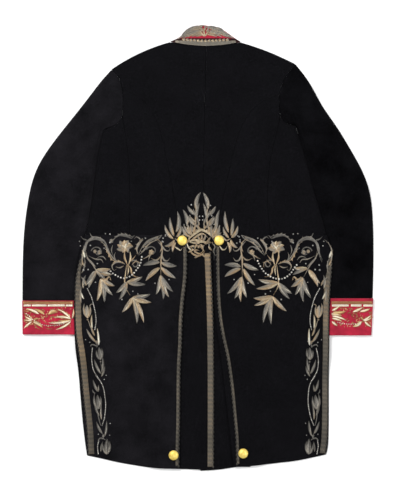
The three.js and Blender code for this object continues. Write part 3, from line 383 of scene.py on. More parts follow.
# Each piece wears the copy for the light that falls on it: this is painted light, not the lie of its nap.
WOOL_PIECES = [
    {"node": "back_left", "nap": "across", "levels": 3},
    {"node": "back_right", "nap": "across", "levels": 3},
    {"node": "side_body_left", "nap": "across", "levels": 3},
    {"node": "side_body_right", "nap": "across", "levels": 3},
    {"node": "front_left", "nap": "across", "levels": 2},
    {"node": "front_right", "nap": "across", "levels": 2},
    {"node": "top_sleeve_left", "nap": "towards", "levels": 3},
    {"node": "top_sleeve_right", "nap": "away", "levels": 3},
    {"node": "under_sleeve_left", "nap": "towards", "levels": 1},
    {"node": "under_sleeve_right", "nap": "away", "levels": 1},
    {"node": "skirt_left", "nap": "towards", "levels": 3, "lifted": True},
    {"node": "skirt_right", "nap": "across", "levels": 3, "lifted": True},
]
cloth = []
for row in WOOL_PIECES:
    cloth.append(cloth_piece(row["node"], row["levels"], WOOLS[row["nap"]],
                             row.get("lifted", False)))

# ---------- The scarlet cuffs and collar ----------
# Facing cloth of scarlet wool: a closed cuff on each sleeve, and a standing collar that is folded over and
# pressed flat. The cuffs are sewn over the sleeve ends, and the collar into the neck.

# In mm. The real fibres are about a quarter of this, and are drawn coarser so that they show.
SCARLET = {"worn": 16.67, "fibre": 1.111}
# Where the painted shade at the collar's fold ends: at and wide are in metres up the coat.
PAINTED_SHADE_BAND = {"at": (430.5 + PLAN_MIDDLE[1]) / 1000, "wide": 0.0045}  # in metres up the coat


def scarlet_material(name, with_painted_fold_shade):
    """Scarlet facing cloth: closely milled, with a soft bloom where it turns away from the light. On the
    collar's copy, painted shade darkens the cloth from the foot of the collar up to its fold, where the fold
    holds a shadow."""
    made = bpy.data.materials.new(name)
    made.use_nodes = True
    tree = made.node_tree
    shader = tree.nodes["Principled BSDF"]
    place = node(tree, "ShaderNodeTexCoord").outputs["Object"]
    worn = node(tree, "ShaderNodeTexNoise", {"Vector": place, "Scale": 1000 / SCARLET["worn"], "Detail": 5,
                                             "Roughness": 0.6})
    fibre = node(tree, "ShaderNodeTexNoise", {"Vector": place, "Scale": 1000 / SCARLET["fibre"], "Detail": 2,
                                              "Roughness": 0.6})
    shade = node(tree, "ShaderNodeValToRGB", {"Fac": worn.outputs["Fac"]})
    shade.color_ramp.elements[0].position = 0.3
    shade.color_ramp.elements[0].color = linear("#861329")
    shade.color_ramp.elements[1].position = 0.72
    shade.color_ramp.elements[1].color = linear("#b41f3a")
    if with_painted_fold_shade:
        # Painted shade: the colour is darkened to a deep wine from the foot of the collar up to the fold,
        # where the fold holds its shadow.
        up = node(tree, "ShaderNodeSeparateXYZ", {"Vector": place}).outputs["Y"]
        above = node(tree, "ShaderNodeMapRange", {"Value": up, "From Min": PAINTED_SHADE_BAND["at"],
                                                  "From Max": PAINTED_SHADE_BAND["at"] + PAINTED_SHADE_BAND["wide"]})
        lit = node(tree, "ShaderNodeValToRGB", {"Fac": above.outputs["Result"]})
        lit.color_ramp.elements[0].position = 0.3
        lit.color_ramp.elements[0].color = linear("#3a0a14")
        lit.color_ramp.elements[1].position = 0.9
        lit.color_ramp.elements[1].color = linear("#ffffff")
        shaded = node(tree, "ShaderNodeVectorMath", {0: shade.outputs["Color"], 1: lit.outputs["Color"]},
                      operation="MULTIPLY")
        tree.links.new(shaded.outputs["Vector"], shader.inputs["Base Color"])
    else:
        tree.links.new(shade.outputs["Color"], shader.inputs["Base Color"])
    bump = node(tree, "ShaderNodeBump", {"Strength": 0.3, "Distance": 0.0003,
                                         "Height": fibre.outputs["Fac"]})
    tree.links.new(bump.outputs["Normal"], shader.inputs["Normal"])
    shader.inputs["Roughness"].default_value = 0.85
    shader.inputs["Specular IOR Level"].default_value = 0.25
    shader.inputs["Sheen Weight"].default_value = 0.25
    shader.inputs["Sheen Roughness"].default_value = 0.45
    shader.inputs["Sheen Tint"].default_value = linear("#ff9aa8")
    return made


scarlet = scarlet_material("scarlet_facing_cloth", False)
collar_scarlet = scarlet_material("scarlet_collar_cloth_with_painted_fold_shade", True)
for name, finish in (("cuff_left", scarlet), ("cuff_right", scarlet), ("collar", collar_scarlet)):
    cloth.append(cloth_piece(name, 3, finish))

# ---------- The woven lace down the tails ----------
# Flat lace of tarnished metal thread over silk, with a looped edge, sewn down the edge of the vent, along
# the two pleats and inside the front edges. It lies on whatever cloth is under it.

coat_mesh = bmesh.new()
for piece in cloth:
    coat_mesh.from_mesh(piece.data)
coat_tree = BVHTree.FromBMesh(coat_mesh)
coat_mesh.free()

# A chart of the cloth's height in mm, which the trimmings are laid on: reach is in cells.
LIE = {"cell": 2.0, "x": (-410, 380), "y": (-525, 470), "reach": 2, "above": 60}
lie_x = np.arange(LIE["x"][0], LIE["x"][1] + LIE["cell"], LIE["cell"])
lie_y = np.arange(LIE["y"][0], LIE["y"][1] + LIE["cell"], LIE["cell"])
chart = np.zeros((len(lie_x), len(lie_y)))
for i, x in enumerate(lie_x):
    for j, y in enumerate(lie_y):
        hit = coat_tree.ray_cast(at(x, y, LIE["above"]), Vector((0, 0, -1)))[0]
        chart[i, j] = hit.z * 1000 if hit else 0
raised = chart.copy()
for shift_x in range(-LIE["reach"], LIE["reach"] + 1):
    for shift_y in range(-LIE["reach"], LIE["reach"] + 1):
        raised = np.maximum(raised, np.roll(chart, (shift_x, shift_y), (0, 1)))
eased = sum(np.roll(raised, (a, b), (0, 1)) for a in (-1, 0, 1) for b in (-1, 0, 1)) / 9
chart = np.maximum(eased, chart)


def lie(x, y):
    """The height of the cloth's top under plan points, in mm, even over seams."""
    u = np.clip((x - lie_x[0]) / LIE["cell"], 0, len(lie_x) - 1.001)
    v = np.clip((y - lie_y[0]) / LIE["cell"], 0, len(lie_y) - 1.001)
    i, j = u.astype(int), v.astype(int)
    u, v = u - i, v - j
    low = chart[i, j] * (1 - v) + chart[i, j + 1] * v
    high = chart[i + 1, j] * (1 - v) + chart[i + 1, j + 1] * v
    return low * (1 - u) + high * u


# The cross-section of a trimming, as shares of its half width and of its height, all the way round.
FLAT_BAND = [(-1, 0.25), (-0.97, 0.85), (-0.86, 1), (-0.72, 0.72), (-0.3, 0.66), (0, 0.74), (0.3, 0.66),
             (0.72, 0.72), (0.86, 1), (0.97, 0.85), (1, 0.25), (0.5, 0), (-0.5, 0)]
PADDED_LEAF = [(-1, 0.08), (-0.92, 0.4), (-0.72, 0.76), (-0.45, 0.98), (-0.2, 0.9), (0, 0.42), (0.2, 0.9),
               (0.45, 0.98), (0.72, 0.76), (0.92, 0.4), (1, 0.08), (0.4, 0), (-0.4, 0)]
ROUND_CORD = [(-1, 0.3), (-0.8, 0.72), (-0.4, 0.95), (0, 1), (0.4, 0.95), (0.8, 0.72), (1, 0.3),
              (0.5, 0), (-0.5, 0)]
UNIT = 10  # mm of thread work in one unit of its UV map
TARNISH = 10.53  # mm between the darker patches of metal thread


def new_work():
    """The meshwork of one trimming while it is being sewn."""
    return {"points": [], "faces": [], "uv": [], "tone": []}


def sew(work, path, wide, high, section, tone=0.5, clear=0.12):
    """Sews one strand down: wide and high are lists along its path, in mm, and it follows the cloth."""
    count, around = len(path), len(section)
    run = np.gradient(path, axis=0)
    run /= np.maximum(np.hypot(run[:, 0], run[:, 1]), 1e-6)[:, None]
    square = np.stack([-run[:, 1], run[:, 0]], 1)
    shares = np.array(section)
    flat = path[:, None] + square[:, None] * (shares[:, 0] * np.asarray(wide)[:, None] / 2)[..., None]
    x, y = flat[..., 0], flat[..., 1]
    z = lie(x, y) + clear + shares[:, 1] * np.asarray(high)[:, None]
    first = len(work["points"])
    work["points"] += [at(*p) for p in np.stack([x, y, z], -1).reshape(-1, 3)]
    along = np.concatenate([[0], np.cumsum(np.hypot(*np.diff(path, axis=0).T))])
    uv = np.stack([np.broadcast_to(shares[:, 0] * np.asarray(wide)[:, None] / 2, x.shape),
                   np.broadcast_to(along[:, None], x.shape)], -1).reshape(-1, 2) / UNIT
    work["tone"] += [tone] * (count * around)
    work["uv"] += uv.tolist()
    for j in range(count - 1):
        for i in range(around):
            k = (i + 1) % around
            a, b = first + j * around, first + (j + 1) * around
            work["faces"].append((a + i, a + k, b + k, b + i))
    work["faces"].append(tuple(first + i for i in reversed(range(around))))
    work["faces"].append(tuple(first + (count - 1) * around + i for i in range(around)))


def finished(work, name, material, slot, *nodes):
    """The strands of a trimming as one piece, which stands for its CAD nodes."""
    mesh = bpy.data.meshes.new(name)
    mesh.from_pydata(work["points"], [], work["faces"])
    uv = mesh.uv_layers.new(name="thread")
    corner_points = np.empty(len(mesh.loops), int)
    mesh.loops.foreach_get("vertex_index", corner_points)
    uv.data.foreach_set("uv", np.array(work["uv"])[corner_points].ravel())
    tones = mesh.attributes.new("tone", "FLOAT", "POINT")
    tones.data.foreach_set("value", np.array(work["tone"], float))
    bm = bmesh.new()
    bm.from_mesh(mesh)
    bmesh.ops.recalc_face_normals(bm, faces=bm.faces)
    bm.to_mesh(mesh)
    bm.free()
    made = object_of(name, mesh, material)
    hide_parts(*nodes)
    return made


def thread_material(name, tones, rough, pitch, slant, metal=0.82, depth=0.0005, strength=0.5):
    """Metal thread laid side by side: each turn of it catches the light, and the grooves between the turns
    are darkened with painted shade. It tarnishes unevenly. pitch is in mm, about four times the real one,
    because the turns are too fine to show."""
    made = bpy.data.materials.new(name)
    made.use_nodes = True
    tree = made.node_tree
    shader = tree.nodes["Principled BSDF"]
    place = node(tree, "ShaderNodeTexCoord").outputs["Object"]
    thread = node(tree, "ShaderNodeUVMap", uv_map="thread").outputs["UV"]
    lay = node(tree, "ShaderNodeMapping", {"Vector": thread, "Rotation": (0, 0, slant)})
    turns = node(tree, "ShaderNodeTexWave", {
        "Vector": lay.outputs["Vector"], "Scale": math.tau / 20 * UNIT / pitch, "Distortion": 0.5,
        "Detail": 1}, bands_direction="Y")
    tarnish = node(tree, "ShaderNodeTexNoise", {"Vector": place, "Scale": 1000 / TARNISH, "Detail": 4,
                                                "Roughness": 0.65})
    tone = node(tree, "ShaderNodeAttribute", attribute_name="tone")
    spread = node(tree, "ShaderNodeMath", {0: tarnish.outputs["Fac"], 1: 0.42, 2: -0.21},
                  operation="MULTIPLY_ADD")
    mixed = node(tree, "ShaderNodeMath", {0: tone.outputs["Fac"], 1: spread.outputs[0]}, operation="ADD")
    colour = node(tree, "ShaderNodeValToRGB", {"Fac": mixed.outputs[0]})
    stops = colour.color_ramp.elements
    while len(stops) < len(tones):
        stops.new(0.5)
    for stop, (position, code) in zip(stops, tones):
        stop.position = position
        stop.color = linear(code)
    # Painted shade: the colour is darkened to about half in the grooves between the turns.
    groove = node(tree, "ShaderNodeMapRange", {
        "Value": turns.outputs["Fac"], "From Min": 0.0, "From Max": 0.6, "To Min": 0.55, "To Max": 1.0})
    shaded = node(tree, "ShaderNodeVectorMath", {0: colour.outputs["Color"]}, operation="SCALE")
    tree.links.new(groove.outputs["Result"], shaded.inputs["Scale"])
    tree.links.new(shaded.outputs["Vector"], shader.inputs["Base Color"])
    bump = node(tree, "ShaderNodeBump", {"Strength": strength, "Distance": depth,
                                         "Height": turns.outputs["Fac"]})
    tree.links.new(bump.outputs["Normal"], shader.inputs["Normal"])
    shader.inputs["Metallic"].default_value = metal
    shader.inputs["Roughness"].default_value = rough
    return made


lace_metal = thread_material(
    "woven_metal_lace", [(0.0, "#423f39"), (0.4, "#645c50"), (0.75, "#82705a"), (1.0, "#a48c66")],
    rough=0.5, pitch=2.6, slant=0.7, metal=0.6, depth=0.0009, strength=0.8)

# Lace starts narrow where it grows out of a seam. It is worn dull below the waist and warm at one place:
# each of these has a share of its tone and the length in mm over which it goes.
LACE = {"thick": 1.15, "stop": 2.4, "scallop": 9.5, "swell": 0.09, "uneven": 0.16, "narrow": 0.42,
        "fade": (0.4, 90), "warm": (0.35, 70)}
EDGE_LEFT = [(-264, 0), (-275, -44), (-286, -97), (-288, -152), (-286, -216), (-279, -264), (-271, -350),
             (-263, -427), (-260, -486)]
EDGE_RIGHT = [(268, 0), (279, -35), (280, -70), (276, -119), (274, -167), (273, -295), (272, -427),
              (267, -484)]
# inset is from the line to the middle of the lace towards +X, and loops says which side its looped edge is
# on. It dulls below fade, is warm about warm, and widens from the first place of grow to the second.
LACES = [
    {"name": "centre_braid",
     "line": [(5, -40), (6.5, -77), (9.3, -143), (10.7, -200), (11.7, -275), (12, -363), (11.7, -512)],
     "inset": 0, "wide": 12.5, "loops": 1, "tone": 0.75, "fade": -130},
    {"name": "pleat_braid_left",
     "line": [(-44.6, -26), (-44.6, -77), (-47, -110), (-51, -143), (-54.6, -190), (-56, -240), (-59, -300),
              (-60, -407), (-61.5, -470), (-61.5, -510)],
     "inset": 0, "wide": 6.4, "loops": 1, "tone": 0.2},
    {"name": "pleat_braid_right",
     "line": [(28.5, -26), (29, -77), (30.5, -130), (34.5, -180), (41.5, -222), (51.5, -268), (58.5, -315),
              (63, -356), (67.5, -404), (71.5, -451), (73, -505)],
     "inset": 0, "wide": 5.4, "loops": -1, "tone": 0.2},
    {"name": "edge_braid_left", "line": EDGE_LEFT, "inset": 9.8, "wide": 12.5, "loops": -1, "tone": 0.35,
     "warm": -250, "top": -58, "foot": -484, "grow": (-58, -135)},
    {"name": "edge_braid_right", "line": EDGE_RIGHT, "inset": -8.6, "wide": 12.0, "loops": 1, "tone": 0.2,
     "warm": -150, "top": -44, "foot": -482, "grow": (-44, -110)},
]


def follow(tree_name, size, turned):
    """Geometry Nodes: one small form, sewn again and again along a line at an even pitch."""
    tree = bpy.data.node_groups.new(tree_name, "GeometryNodeTree")
    face = tree.interface
    face.new_socket("Line", in_out="INPUT", socket_type="NodeSocketGeometry")
    face.new_socket("Pitch", in_out="INPUT", socket_type="NodeSocketFloat")
    face.new_socket("Size", in_out="INPUT", socket_type="NodeSocketVector")
    face.new_socket("Finish", in_out="INPUT", socket_type="NodeSocketMaterial")
    face.new_socket("Work", in_out="OUTPUT", socket_type="NodeSocketGeometry")
    given = node(tree, "NodeGroupInput").outputs
    curve = node(tree, "GeometryNodeMeshToCurve", {"Mesh": given["Line"]})
    even = node(tree, "GeometryNodeResampleCurve", {
        "Curve": curve.outputs["Curve"], "Length": given["Pitch"]}, mode="LENGTH")
    form = node(tree, "GeometryNodeMeshUVSphere", {"Segments": size[0], "Rings": size[1], "Radius": 1.0})
    tangent = node(tree, "GeometryNodeInputTangent")
    facing = node(tree, "FunctionNodeAlignRotationToVector", {"Vector": tangent.outputs["Tangent"]},
                  axis="X")
    sewn = node(tree, "GeometryNodeInstanceOnPoints", {
        "Points": even.outputs["Curve"], "Instance": form.outputs["Mesh"], "Scale": given["Size"],
        **({"Rotation": facing.outputs["Rotation"]} if turned else {})})
    real = node(tree, "GeometryNodeRealizeInstances", {"Geometry": sewn.outputs["Instances"]})
    finish = node(tree, "GeometryNodeSetMaterial", {"Geometry": real.outputs["Geometry"],
                                                    "Material": given["Finish"]})
    out = node(tree, "NodeGroupOutput")
    tree.links.new(finish.outputs["Geometry"], out.inputs["Work"])
    return tree


def grown(tree, points, edges, inputs, attributes=()):
    """The plain mesh that a node tree makes from lines or points, in metres."""
    base = bpy.data.meshes.new("base")
    base.from_pydata(points, edges, [])
    for name, values in dict(attributes).items():
        base.attributes.new(name, "FLOAT", "POINT").data.foreach_set("value", values)
    holder = bpy.data.objects.new("holder", base)
    bpy.context.scene.collection.objects.link(holder)
    maker = holder.modifiers.new("maker", "NODES")
    maker.node_group = tree
    sockets = {s.name: s.identifier for s in tree.interface.items_tree if s.in_out == "INPUT"}
    for name, value in inputs.items():
        maker[sockets[name]] = value
    mesh = bpy.data.meshes.new_from_object(holder.evaluated_get(bpy.context.evaluated_depsgraph_get()))
    bpy.data.objects.remove(holder)
    return mesh


def merged(name, meshes, material):
    """Several meshes as one piece."""
    bm = bmesh.new()
    for mesh in meshes:
        bm.from_mesh(mesh)
    whole = bpy.data.meshes.new(name)
    bm.to_mesh(whole)
    bm.free()
    return object_of(name, whole, material)


def draped(path, clear):
    """A plan line as places on the cloth, clear above it in mm."""
    z = lie(path[:, 0], path[:, 1]) + clear
    return [at(*p) for p in np.column_stack([path, z])]


def chain(count):
    """The edges that join so many points in a row."""
    return [(i, i + 1) for i in range(count - 1)]


loops_tree = follow("looped_edge", (8, 6), True)
LOOPS = {"pitch": 9.5, "long": 3.6, "out": 2.4, "high": 0.75, "clear": 0.6}  # mm
for row in LACES:
    line = smooth_line(row["line"], 240)
    ys = np.arange(row.get("top", line[0, 1]), row.get("foot", line[-1, 1]), -LACE["stop"])
    xs = np.interp(-ys, -line[:, 1], line[:, 0])
    share = np.ones(len(ys))
    if "grow" in row:
        top, full = row["grow"]
        share = LACE["narrow"] + (1 - LACE["narrow"]) * ramp((top - ys) / (top - full))
    outer = -np.sign(row["inset"]) * (row["wide"] / 2) * (1 - share)
    swell = 1 + LACE["swell"] * (np.abs(np.sin(math.pi * ys / LACE["scallop"])) - 0.6)
    middle = np.column_stack([xs + row["inset"] + outer, ys])
    work = new_work()
    sew(work, middle, row["wide"] * share * swell, np.full(len(ys), LACE["thick"]), FLAT_BAND, row["tone"])
    tones = np.array(work["tone"]).reshape(len(ys), -1)
    patchy = np.sin(math.tau * ys / LACE["scallop"]) + 0.8 * np.sin(ys / 17) * np.sin(ys / 41)
    tones += LACE["uneven"] * patchy[:, None]
    if "fade" in row:
        tones -= LACE["fade"][0] * ramp((row["fade"] - ys) / LACE["fade"][1])[:, None]
    if "warm" in row:
        tones += LACE["warm"][0] * np.exp(-(((ys - row["warm"]) / LACE["warm"][1]) ** 2))[:, None]
    work["tone"] = tones.ravel().tolist()
    finished(work, row["name"].replace("braid", "lace"), lace_metal, "metal_lace", row["name"])
    rim = middle + np.column_stack([row["loops"] * row["wide"] * share / 2, np.zeros(len(ys))])
    mesh = grown(loops_tree, draped(rim, LOOPS["clear"]), chain(len(rim)), {
        "Pitch": LOOPS["pitch"] / 1000, "Size": [LOOPS[k] / 1000 for k in ("long", "out", "high")],
        "Finish": lace_metal})
    merged(row["name"].replace("braid", "loops"), [mesh], lace_metal)

# ---------- Goldwork on the back, the hips and the tails ----------
# Bullion and purl wire in tarnished silver-gilt: padded leaves in satin-like lay, couched scrolls and
# stems, with rosettes and a flower. It is all sewn by hand on the cloth.

bullion = thread_material(
    "tarnished_bullion", [(0.0, "#615e59"), (0.22, "#96928b"), (0.42, "#b3a999"), (0.6, "#c6a985"),
                          (0.78, "#e4d3b2"), (1.0, "#fffaea")],
    rough=0.38, pitch=1.5, slant=0.9, metal=0.8, depth=0.0008, strength=0.8)

tone_draw = random.Random(11)
# The widest part of a leaf is below its middle. One half of it has a painted highlight and the other painted
# shade, by which way it points, and its foot is the most gilt.
LEAF = {"low": 0.82, "full": 0.74, "tip": 0.5, "tones": (0.22, 0.66), "half": 0.1, "foot": 0.3, "even": 0.42}


def leaf(work, foot, tip, wide, bend=0.0, high=2.4, tone=None, stops=15):
    """A padded leaf with a groove down its middle, from foot to tip."""
    foot, tip = np.array(foot, float), np.array(tip, float)
    t = np.linspace(0, 1, stops)
    run = tip - foot
    square = np.array([-run[1], run[0]])
    path = foot + run * t[:, None] + square * (bend * 4 * t * (1 - t))[:, None]
    full = np.sin(np.pi * t ** LEAF["low"]) ** LEAF["full"]
    width = np.maximum(wide * full, LEAF["tip"])
    tone = tone_draw.uniform(*LEAF["tones"]) if tone is None else tone
    first = len(work["tone"])
    sew(work, path, width, high * (0.25 + 0.75 * full), PADDED_LEAF, tone)
    # Painted light: by which way the leaf points, one half is made lighter in tone and the other darker.
    halves = np.sign([x for x, _ in PADDED_LEAF]) * (1 if run[1] > 0 else -1)
    lit = halves * (1 - 2 * (run[0] < 0))
    shade = LEAF["half"] * lit + LEAF["foot"] * (LEAF["even"] - t[:, None])
    work["tone"][first:] = (tone + shade).ravel().tolist()


SCROLL = {"stop": 2.2, "thin": 0.7, "widest": 0.4, "tones": (0.1, 0.4)}  # stop and thin are in mm


def scroll(work, through, wide, start=0.35, end=0.12, high=1.3, tone=None):
    """A couched scroll on a smooth line, tapered from its widest part to both ends."""
    run = np.hypot(*np.diff(np.array(through, float), axis=0).T).sum()
    path = smooth_line(through, max(8, int(run / SCROLL["stop"])))
    t = np.linspace(0, 1, len(path))
    widest = SCROLL["widest"]
    swell = np.where(t < widest, start + (1 - start) * ramp(t / widest),
                     end + (1 - end) * ramp((1 - t) / (1 - widest)))
    tone = tone_draw.uniform(*SCROLL["tones"]) if tone is None else tone
    sew(work, path, np.maximum(wide * swell, SCROLL["thin"]), high * (0.45 + 0.55 * swell), ROUND_CORD, tone)


ACANTHUS = {"ahead": 0.8, "out": 0.75, "back": 0.3, "plump": 0.62, "bend": 0.18}  # shares of a lobe's reach


def acanthus(work, through, wide, tone=None, lobes=5, long=7.5, side=1):
    """A scroll that breaks into lobes along its outer side, as an acanthus leaf does."""
    scroll(work, through, wide, tone=tone)
    path = smooth_line(through, 40)
    run = np.gradient(path, axis=0)
    run /= np.hypot(run[:, 0], run[:, 1])[:, None]
    for share in np.linspace(0.12, 0.86, lobes):
        k = int(share * 39)
        out = side * np.array([-run[k, 1], run[k, 0]])
        reach = 0.72 * long * math.sin(math.pi * (0.2 + 0.7 * share))
        tip = path[k] + ACANTHUS["ahead"] * reach * run[k] + ACANTHUS["out"] * reach * out
        leaf(work, path[k] - ACANTHUS["back"] * reach * run[k], tip, ACANTHUS["plump"] * reach,
             bend=-ACANTHUS["bend"] * side, high=1.5, tone=None if tone is None else tone + 0.1, stops=8)


def volute(work, centre, radius, turns, begin, wide, tone=None, way=1):
    """A couched spiral that closes on its centre."""
    angles = np.linspace(0, turns * math.tau, int(10 + 16 * turns)) * way + begin
    radii = np.linspace(radius, radius * 0.28, len(angles))
    path = np.array(centre) + np.column_stack([radii * np.cos(angles), radii * np.sin(angles)])
    tone = tone_draw.uniform(0.1, 0.35) if tone is None else tone
    sew(work, path, np.linspace(wide, wide * 0.6, len(path)), np.full(len(path), 1.2), ROUND_CORD, tone)


def rosette(work, centre, radius, petals=6, tone=0.6):
    """A small flower of short petals round an eye."""
    for k in range(petals):
        a = math.tau * k / petals + centre[0]
        tip = (centre[0] + radius * math.cos(a), centre[1] + radius * math.sin(a))
        leaf(work, centre, tip, radius * 0.95, high=1.5, tone=tone, stops=8)


SPRAY = {"fuller": 1.12, "bend": 0.06}
# wide, high and clear are in mm, and off is how far from a leaf's middle it lies, as a share of its width.
# The bright purl is a painted highlight streak.
PURL_PAINTED_HIGHLIGHT = {"wide": 2.1, "high": 0.6, "clear": 1.75, "off": 0.17, "tone": 0.92, "stops": 10}


def spray(work, hub, tips, wide):
    """Leaves that open from one hub, each bowed a little outwards. Every other one has a turn of bright purl
    along one side, which stands for a streak of highlight: a painted highlight."""
    middle = np.mean(np.array(tips, float), 0) - hub
    for k, tip in enumerate(tips):
        run = np.array(tip, float) - hub
        side = np.sign(middle[0] * run[1] - middle[1] * run[0]) or 1
        leaf(work, hub, tip, SPRAY["fuller"] * wide, bend=-SPRAY["bend"] * side)
        if (k + int(hub[0])) % 2:
            continue
        # Painted highlight: a thin bright cord laid along the leaf where a streak of light would fall.
        t = np.linspace(0.34, 0.9, PURL_PAINTED_HIGHLIGHT["stops"])
        square = np.array([-run[1], run[0]])
        off = -SPRAY["bend"] * side * 4 * t * (1 - t) + PURL_PAINTED_HIGHLIGHT["off"] * wide / np.hypot(*run)
        path = np.array(hub) + run * t[:, None] + square * off[:, None]
        taper = np.sin(np.pi * np.linspace(0.12, 0.95, PURL_PAINTED_HIGHLIGHT["stops"]))
        sew(work, path, PURL_PAINTED_HIGHLIGHT["wide"] * taper, np.full(PURL_PAINTED_HIGHLIGHT["stops"], PURL_PAINTED_HIGHLIGHT["high"]), ROUND_CORD,
            PURL_PAINTED_HIGHLIGHT["tone"], clear=PURL_PAINTED_HIGHLIGHT["clear"])


# The crown over the centre seam: pairs of tall leaves rise from an arch, between two standing sprays.
CROWN_LEAVES = [
    # foot, tip, wide, bend
    ((-20, 56), (-9, 94), 9.5, 0.10), ((6, 56), (-5, 94), 9.5, -0.10),
    ((-20, 33), (-12, 70), 7.5, 0.05), ((4, 32), (-4, 70), 7.5, -0.05),
    ((-21, 44), (-39, 65), 8.0, 0.08), ((7, 43), (24, 64), 8.0, -0.08),
    ((-22, 21), (-38, 43), 7.5, 0.08), ((7, 20), (22, 40), 7.5, -0.08),
    ((-13, 11), (-14, 28), 5.0, 0.1), ((-2, 11), (-4, 27), 5.0, -0.1),
    ((-40, 20), (-49, 56), 9.0, -0.10), ((25, 11), (32, 55), 9.0, 0.06),
    ((-64, 6), (-61, 52), 9.5, -0.12), ((52, 5), (44, 51), 9.0, 0.06),
    ((-68, -3), (-77, 38), 9.0, 0.06), ((57, -2), (61, 36), 8.5, -0.04),
    ((-69, -9), (-88, 22), 8.5, 0.12), ((58, -6), (72, 20), 8.5, -0.12),
    ((-63, -5), (-53, 22), 7.5, -0.12), ((53, -7), (40, 18), 7.0, 0.10),
    ((-38, -3), (-50, 19), 7.0, 0.08), ((22, -3), (33, 15), 7.0, -0.08),
    ((-33, 0), (-32, 25), 6.0, -0.08), ((17, -7), (16, 21), 6.5, 0.08),
    ((-67, -11), (-89, -24), 8.0, 0.16), ((57, -10), (72, -28), 8.0, -0.18),
    ((-64, -16), (-71, -38), 7.5, -0.12), ((49, -15), (54, -39), 7.5, 0.14),
    ((-30, 0), (-47, 24), 6.5, 0.10), ((-28, 2), (-39, 27), 5.5, 0.06), ((-25, 4), (-28, 22), 5.0, 0.0),
    ((-24, 6), (-16, 12), 4.0, 0.1), ((-30, -4), (-50, 8), 5.5, 0.1), ((16, -2), (33, 22), 6.5, -0.10),
    ((14, 2), (25, 26), 5.5, -0.06), ((11, 4), (14, 22), 5.0, 0.0), ((10, 6), (2, 12), 4.0, -0.1),
    ((17, -4), (36, 6), 5.5, -0.1), ((-18, 26), (-35, 44), 5.5, 0.08), ((4, 25), (20, 42), 5.5, -0.08),
    ((-16, 36), (-26, 58), 5.5, 0.06), ((2, 35), (12, 57), 5.5, -0.06), ((-12, 22), (-17, 42), 4.5, 0.06),
    ((-4, 22), (2, 42), 4.5, -0.06), ((-10, 14), (-22, 26), 4.5, 0.1), ((-3, 14), (9, 26), 4.5, -0.1),
    ((-34, -8), (-44, -18), 5.0, 0.1), ((22, -12), (32, -22), 5.0, -0.1), ((-24, -22), (-36, -26), 4.5, 0.1),
    ((-26, -30), (-38, -38), 4.5, 0.1), ((-14, -44), (-24, -50), 4.0, 0.1), ((-6, -40), (2, -50), 4.0, -0.1),
    ((8, -24), (16, -34), 4.5, -0.1), ((-10, -20), (-4, -32), 4.5, 0.1), ((-18, -20), (-22, -32), 4.5, -0.1),
    ((-8, -14), (-16, 2), 5.0, 0.1), ((-6, -14), (2, 2), 5.0, -0.1), ((-7, -12), (-7, 5), 4.5, 0.0),
    ((-17, -15), (-26, -4), 4.5, 0.1), ((3, -15), (12, -4), 4.5, -0.1), ((-12, -19), (-23, -15), 4.0, 0.1),
    ((-2, -19), (9, -15), 4.0, -0.1), ((-7, -31), (-1, -22), 4.0, 0.1), ((-16, -29), (-11, -20), 4.0, -0.1),
]
CROWN_ACANTHUS = [
    # through, wide, tone, lobes, long, side
    ([(-7, 10), (-18, 8), (-28, 0), (-36, -8)], 4.6, 0.7, 5, 7.0, 1),
    ([(-7, 10), (4, 8), (14, 0), (22, -8)], 4.6, 0.7, 5, 7.0, -1),
    ([(-34, -16), (-20, -18), (-8, -14), (4, -18), (18, -16)], 5.0, 0.72, 7, 6.0, 1),
    ([(-40, 18), (-36, 8), (-30, 0)], 3.4, 0.7, 3, 7.5, 1),
    ([(26, 18), (22, 8), (16, 0)], 3.4, 0.7, 3, 7.5, -1),
    ([(-22, 20), (-26, 10), (-32, 4)], 3.4, 0.6, 3, 7.0, 1),
    ([(8, 20), (12, 10), (18, 4)], 3.4, 0.6, 3, 7.0, -1),
    ([(-30, -28), (-20, -38), (-8, -42), (0, -36)], 3.8, 0.55, 5, 5.5, -1),
    ([(-50, -4), (-44, -12), (-38, -16)], 3.2, 0.6, 3, 6.0, -1),
    ([(36, -4), (30, -12), (24, -16)], 3.2, 0.6, 3, 6.0, 1),
]
CROWN_SCROLLS = [
    # through, wide, tone
    ([(-20, 58), (-21, 40), (-21, 24), (-24, 8), (-34, -6)], 4.0, 0.5),
    ([(6, 58), (4, 40), (5, 24), (10, 8), (20, -8)], 4.0, 0.5),
    ([(-36, -8), (-26, 0), (-14, 9), (-7, 11), (2, 7), (12, -1), (20, -12)], 6.5, 0.75),
    ([(-30, -12), (-20, -4), (-10, 2), (-6, 3), (0, 0), (8, -8)], 5.0, 0.7),
    ([(-34, -14), (-24, -11), (-12, -14), (0, -15), (12, -14)], 6.5, 0.75),
    ([(-66, -8), (-58, -12), (-50, -2), (-40, 6), (-34, 4)], 4.0, 0.45),
    ([(56, -8), (47, -12), (38, -4), (28, 2), (20, 0)], 4.0, 0.45),
    ([(-40, -18), (-36, -28), (-28, -34), (-22, -28)], 3.4, 0.9),
    ([(-34, -34), (-26, -42), (-16, -46), (-6, -43), (-1, -34)], 4.4, 0.6),
    ([(-28, -26), (-18, -24), (-8, -27), (-4, -34), (-10, -40), (-18, -38)], 3.6, 0.55),
    ([(-26, -34), (-18, -33), (-12, -35)], 3.2, 0.6),
    ([(-66, -26), (-60, -30), (-54, -34), (-50, -28)], 3.4, 0.85),
    ([(32, -24), (38, -32), (45, -31), (49, -24)], 3.4, 0.85),
    ([(16, -18), (22, -26), (18, -36), (24, -46)], 2.8, 0.3),
]
CROWN_TONE = {"top": 0.26, "gilt": 0.3, "from": 60, "over": 90, "vary": 0.1}  # it is more gilt further down
crown = new_work()
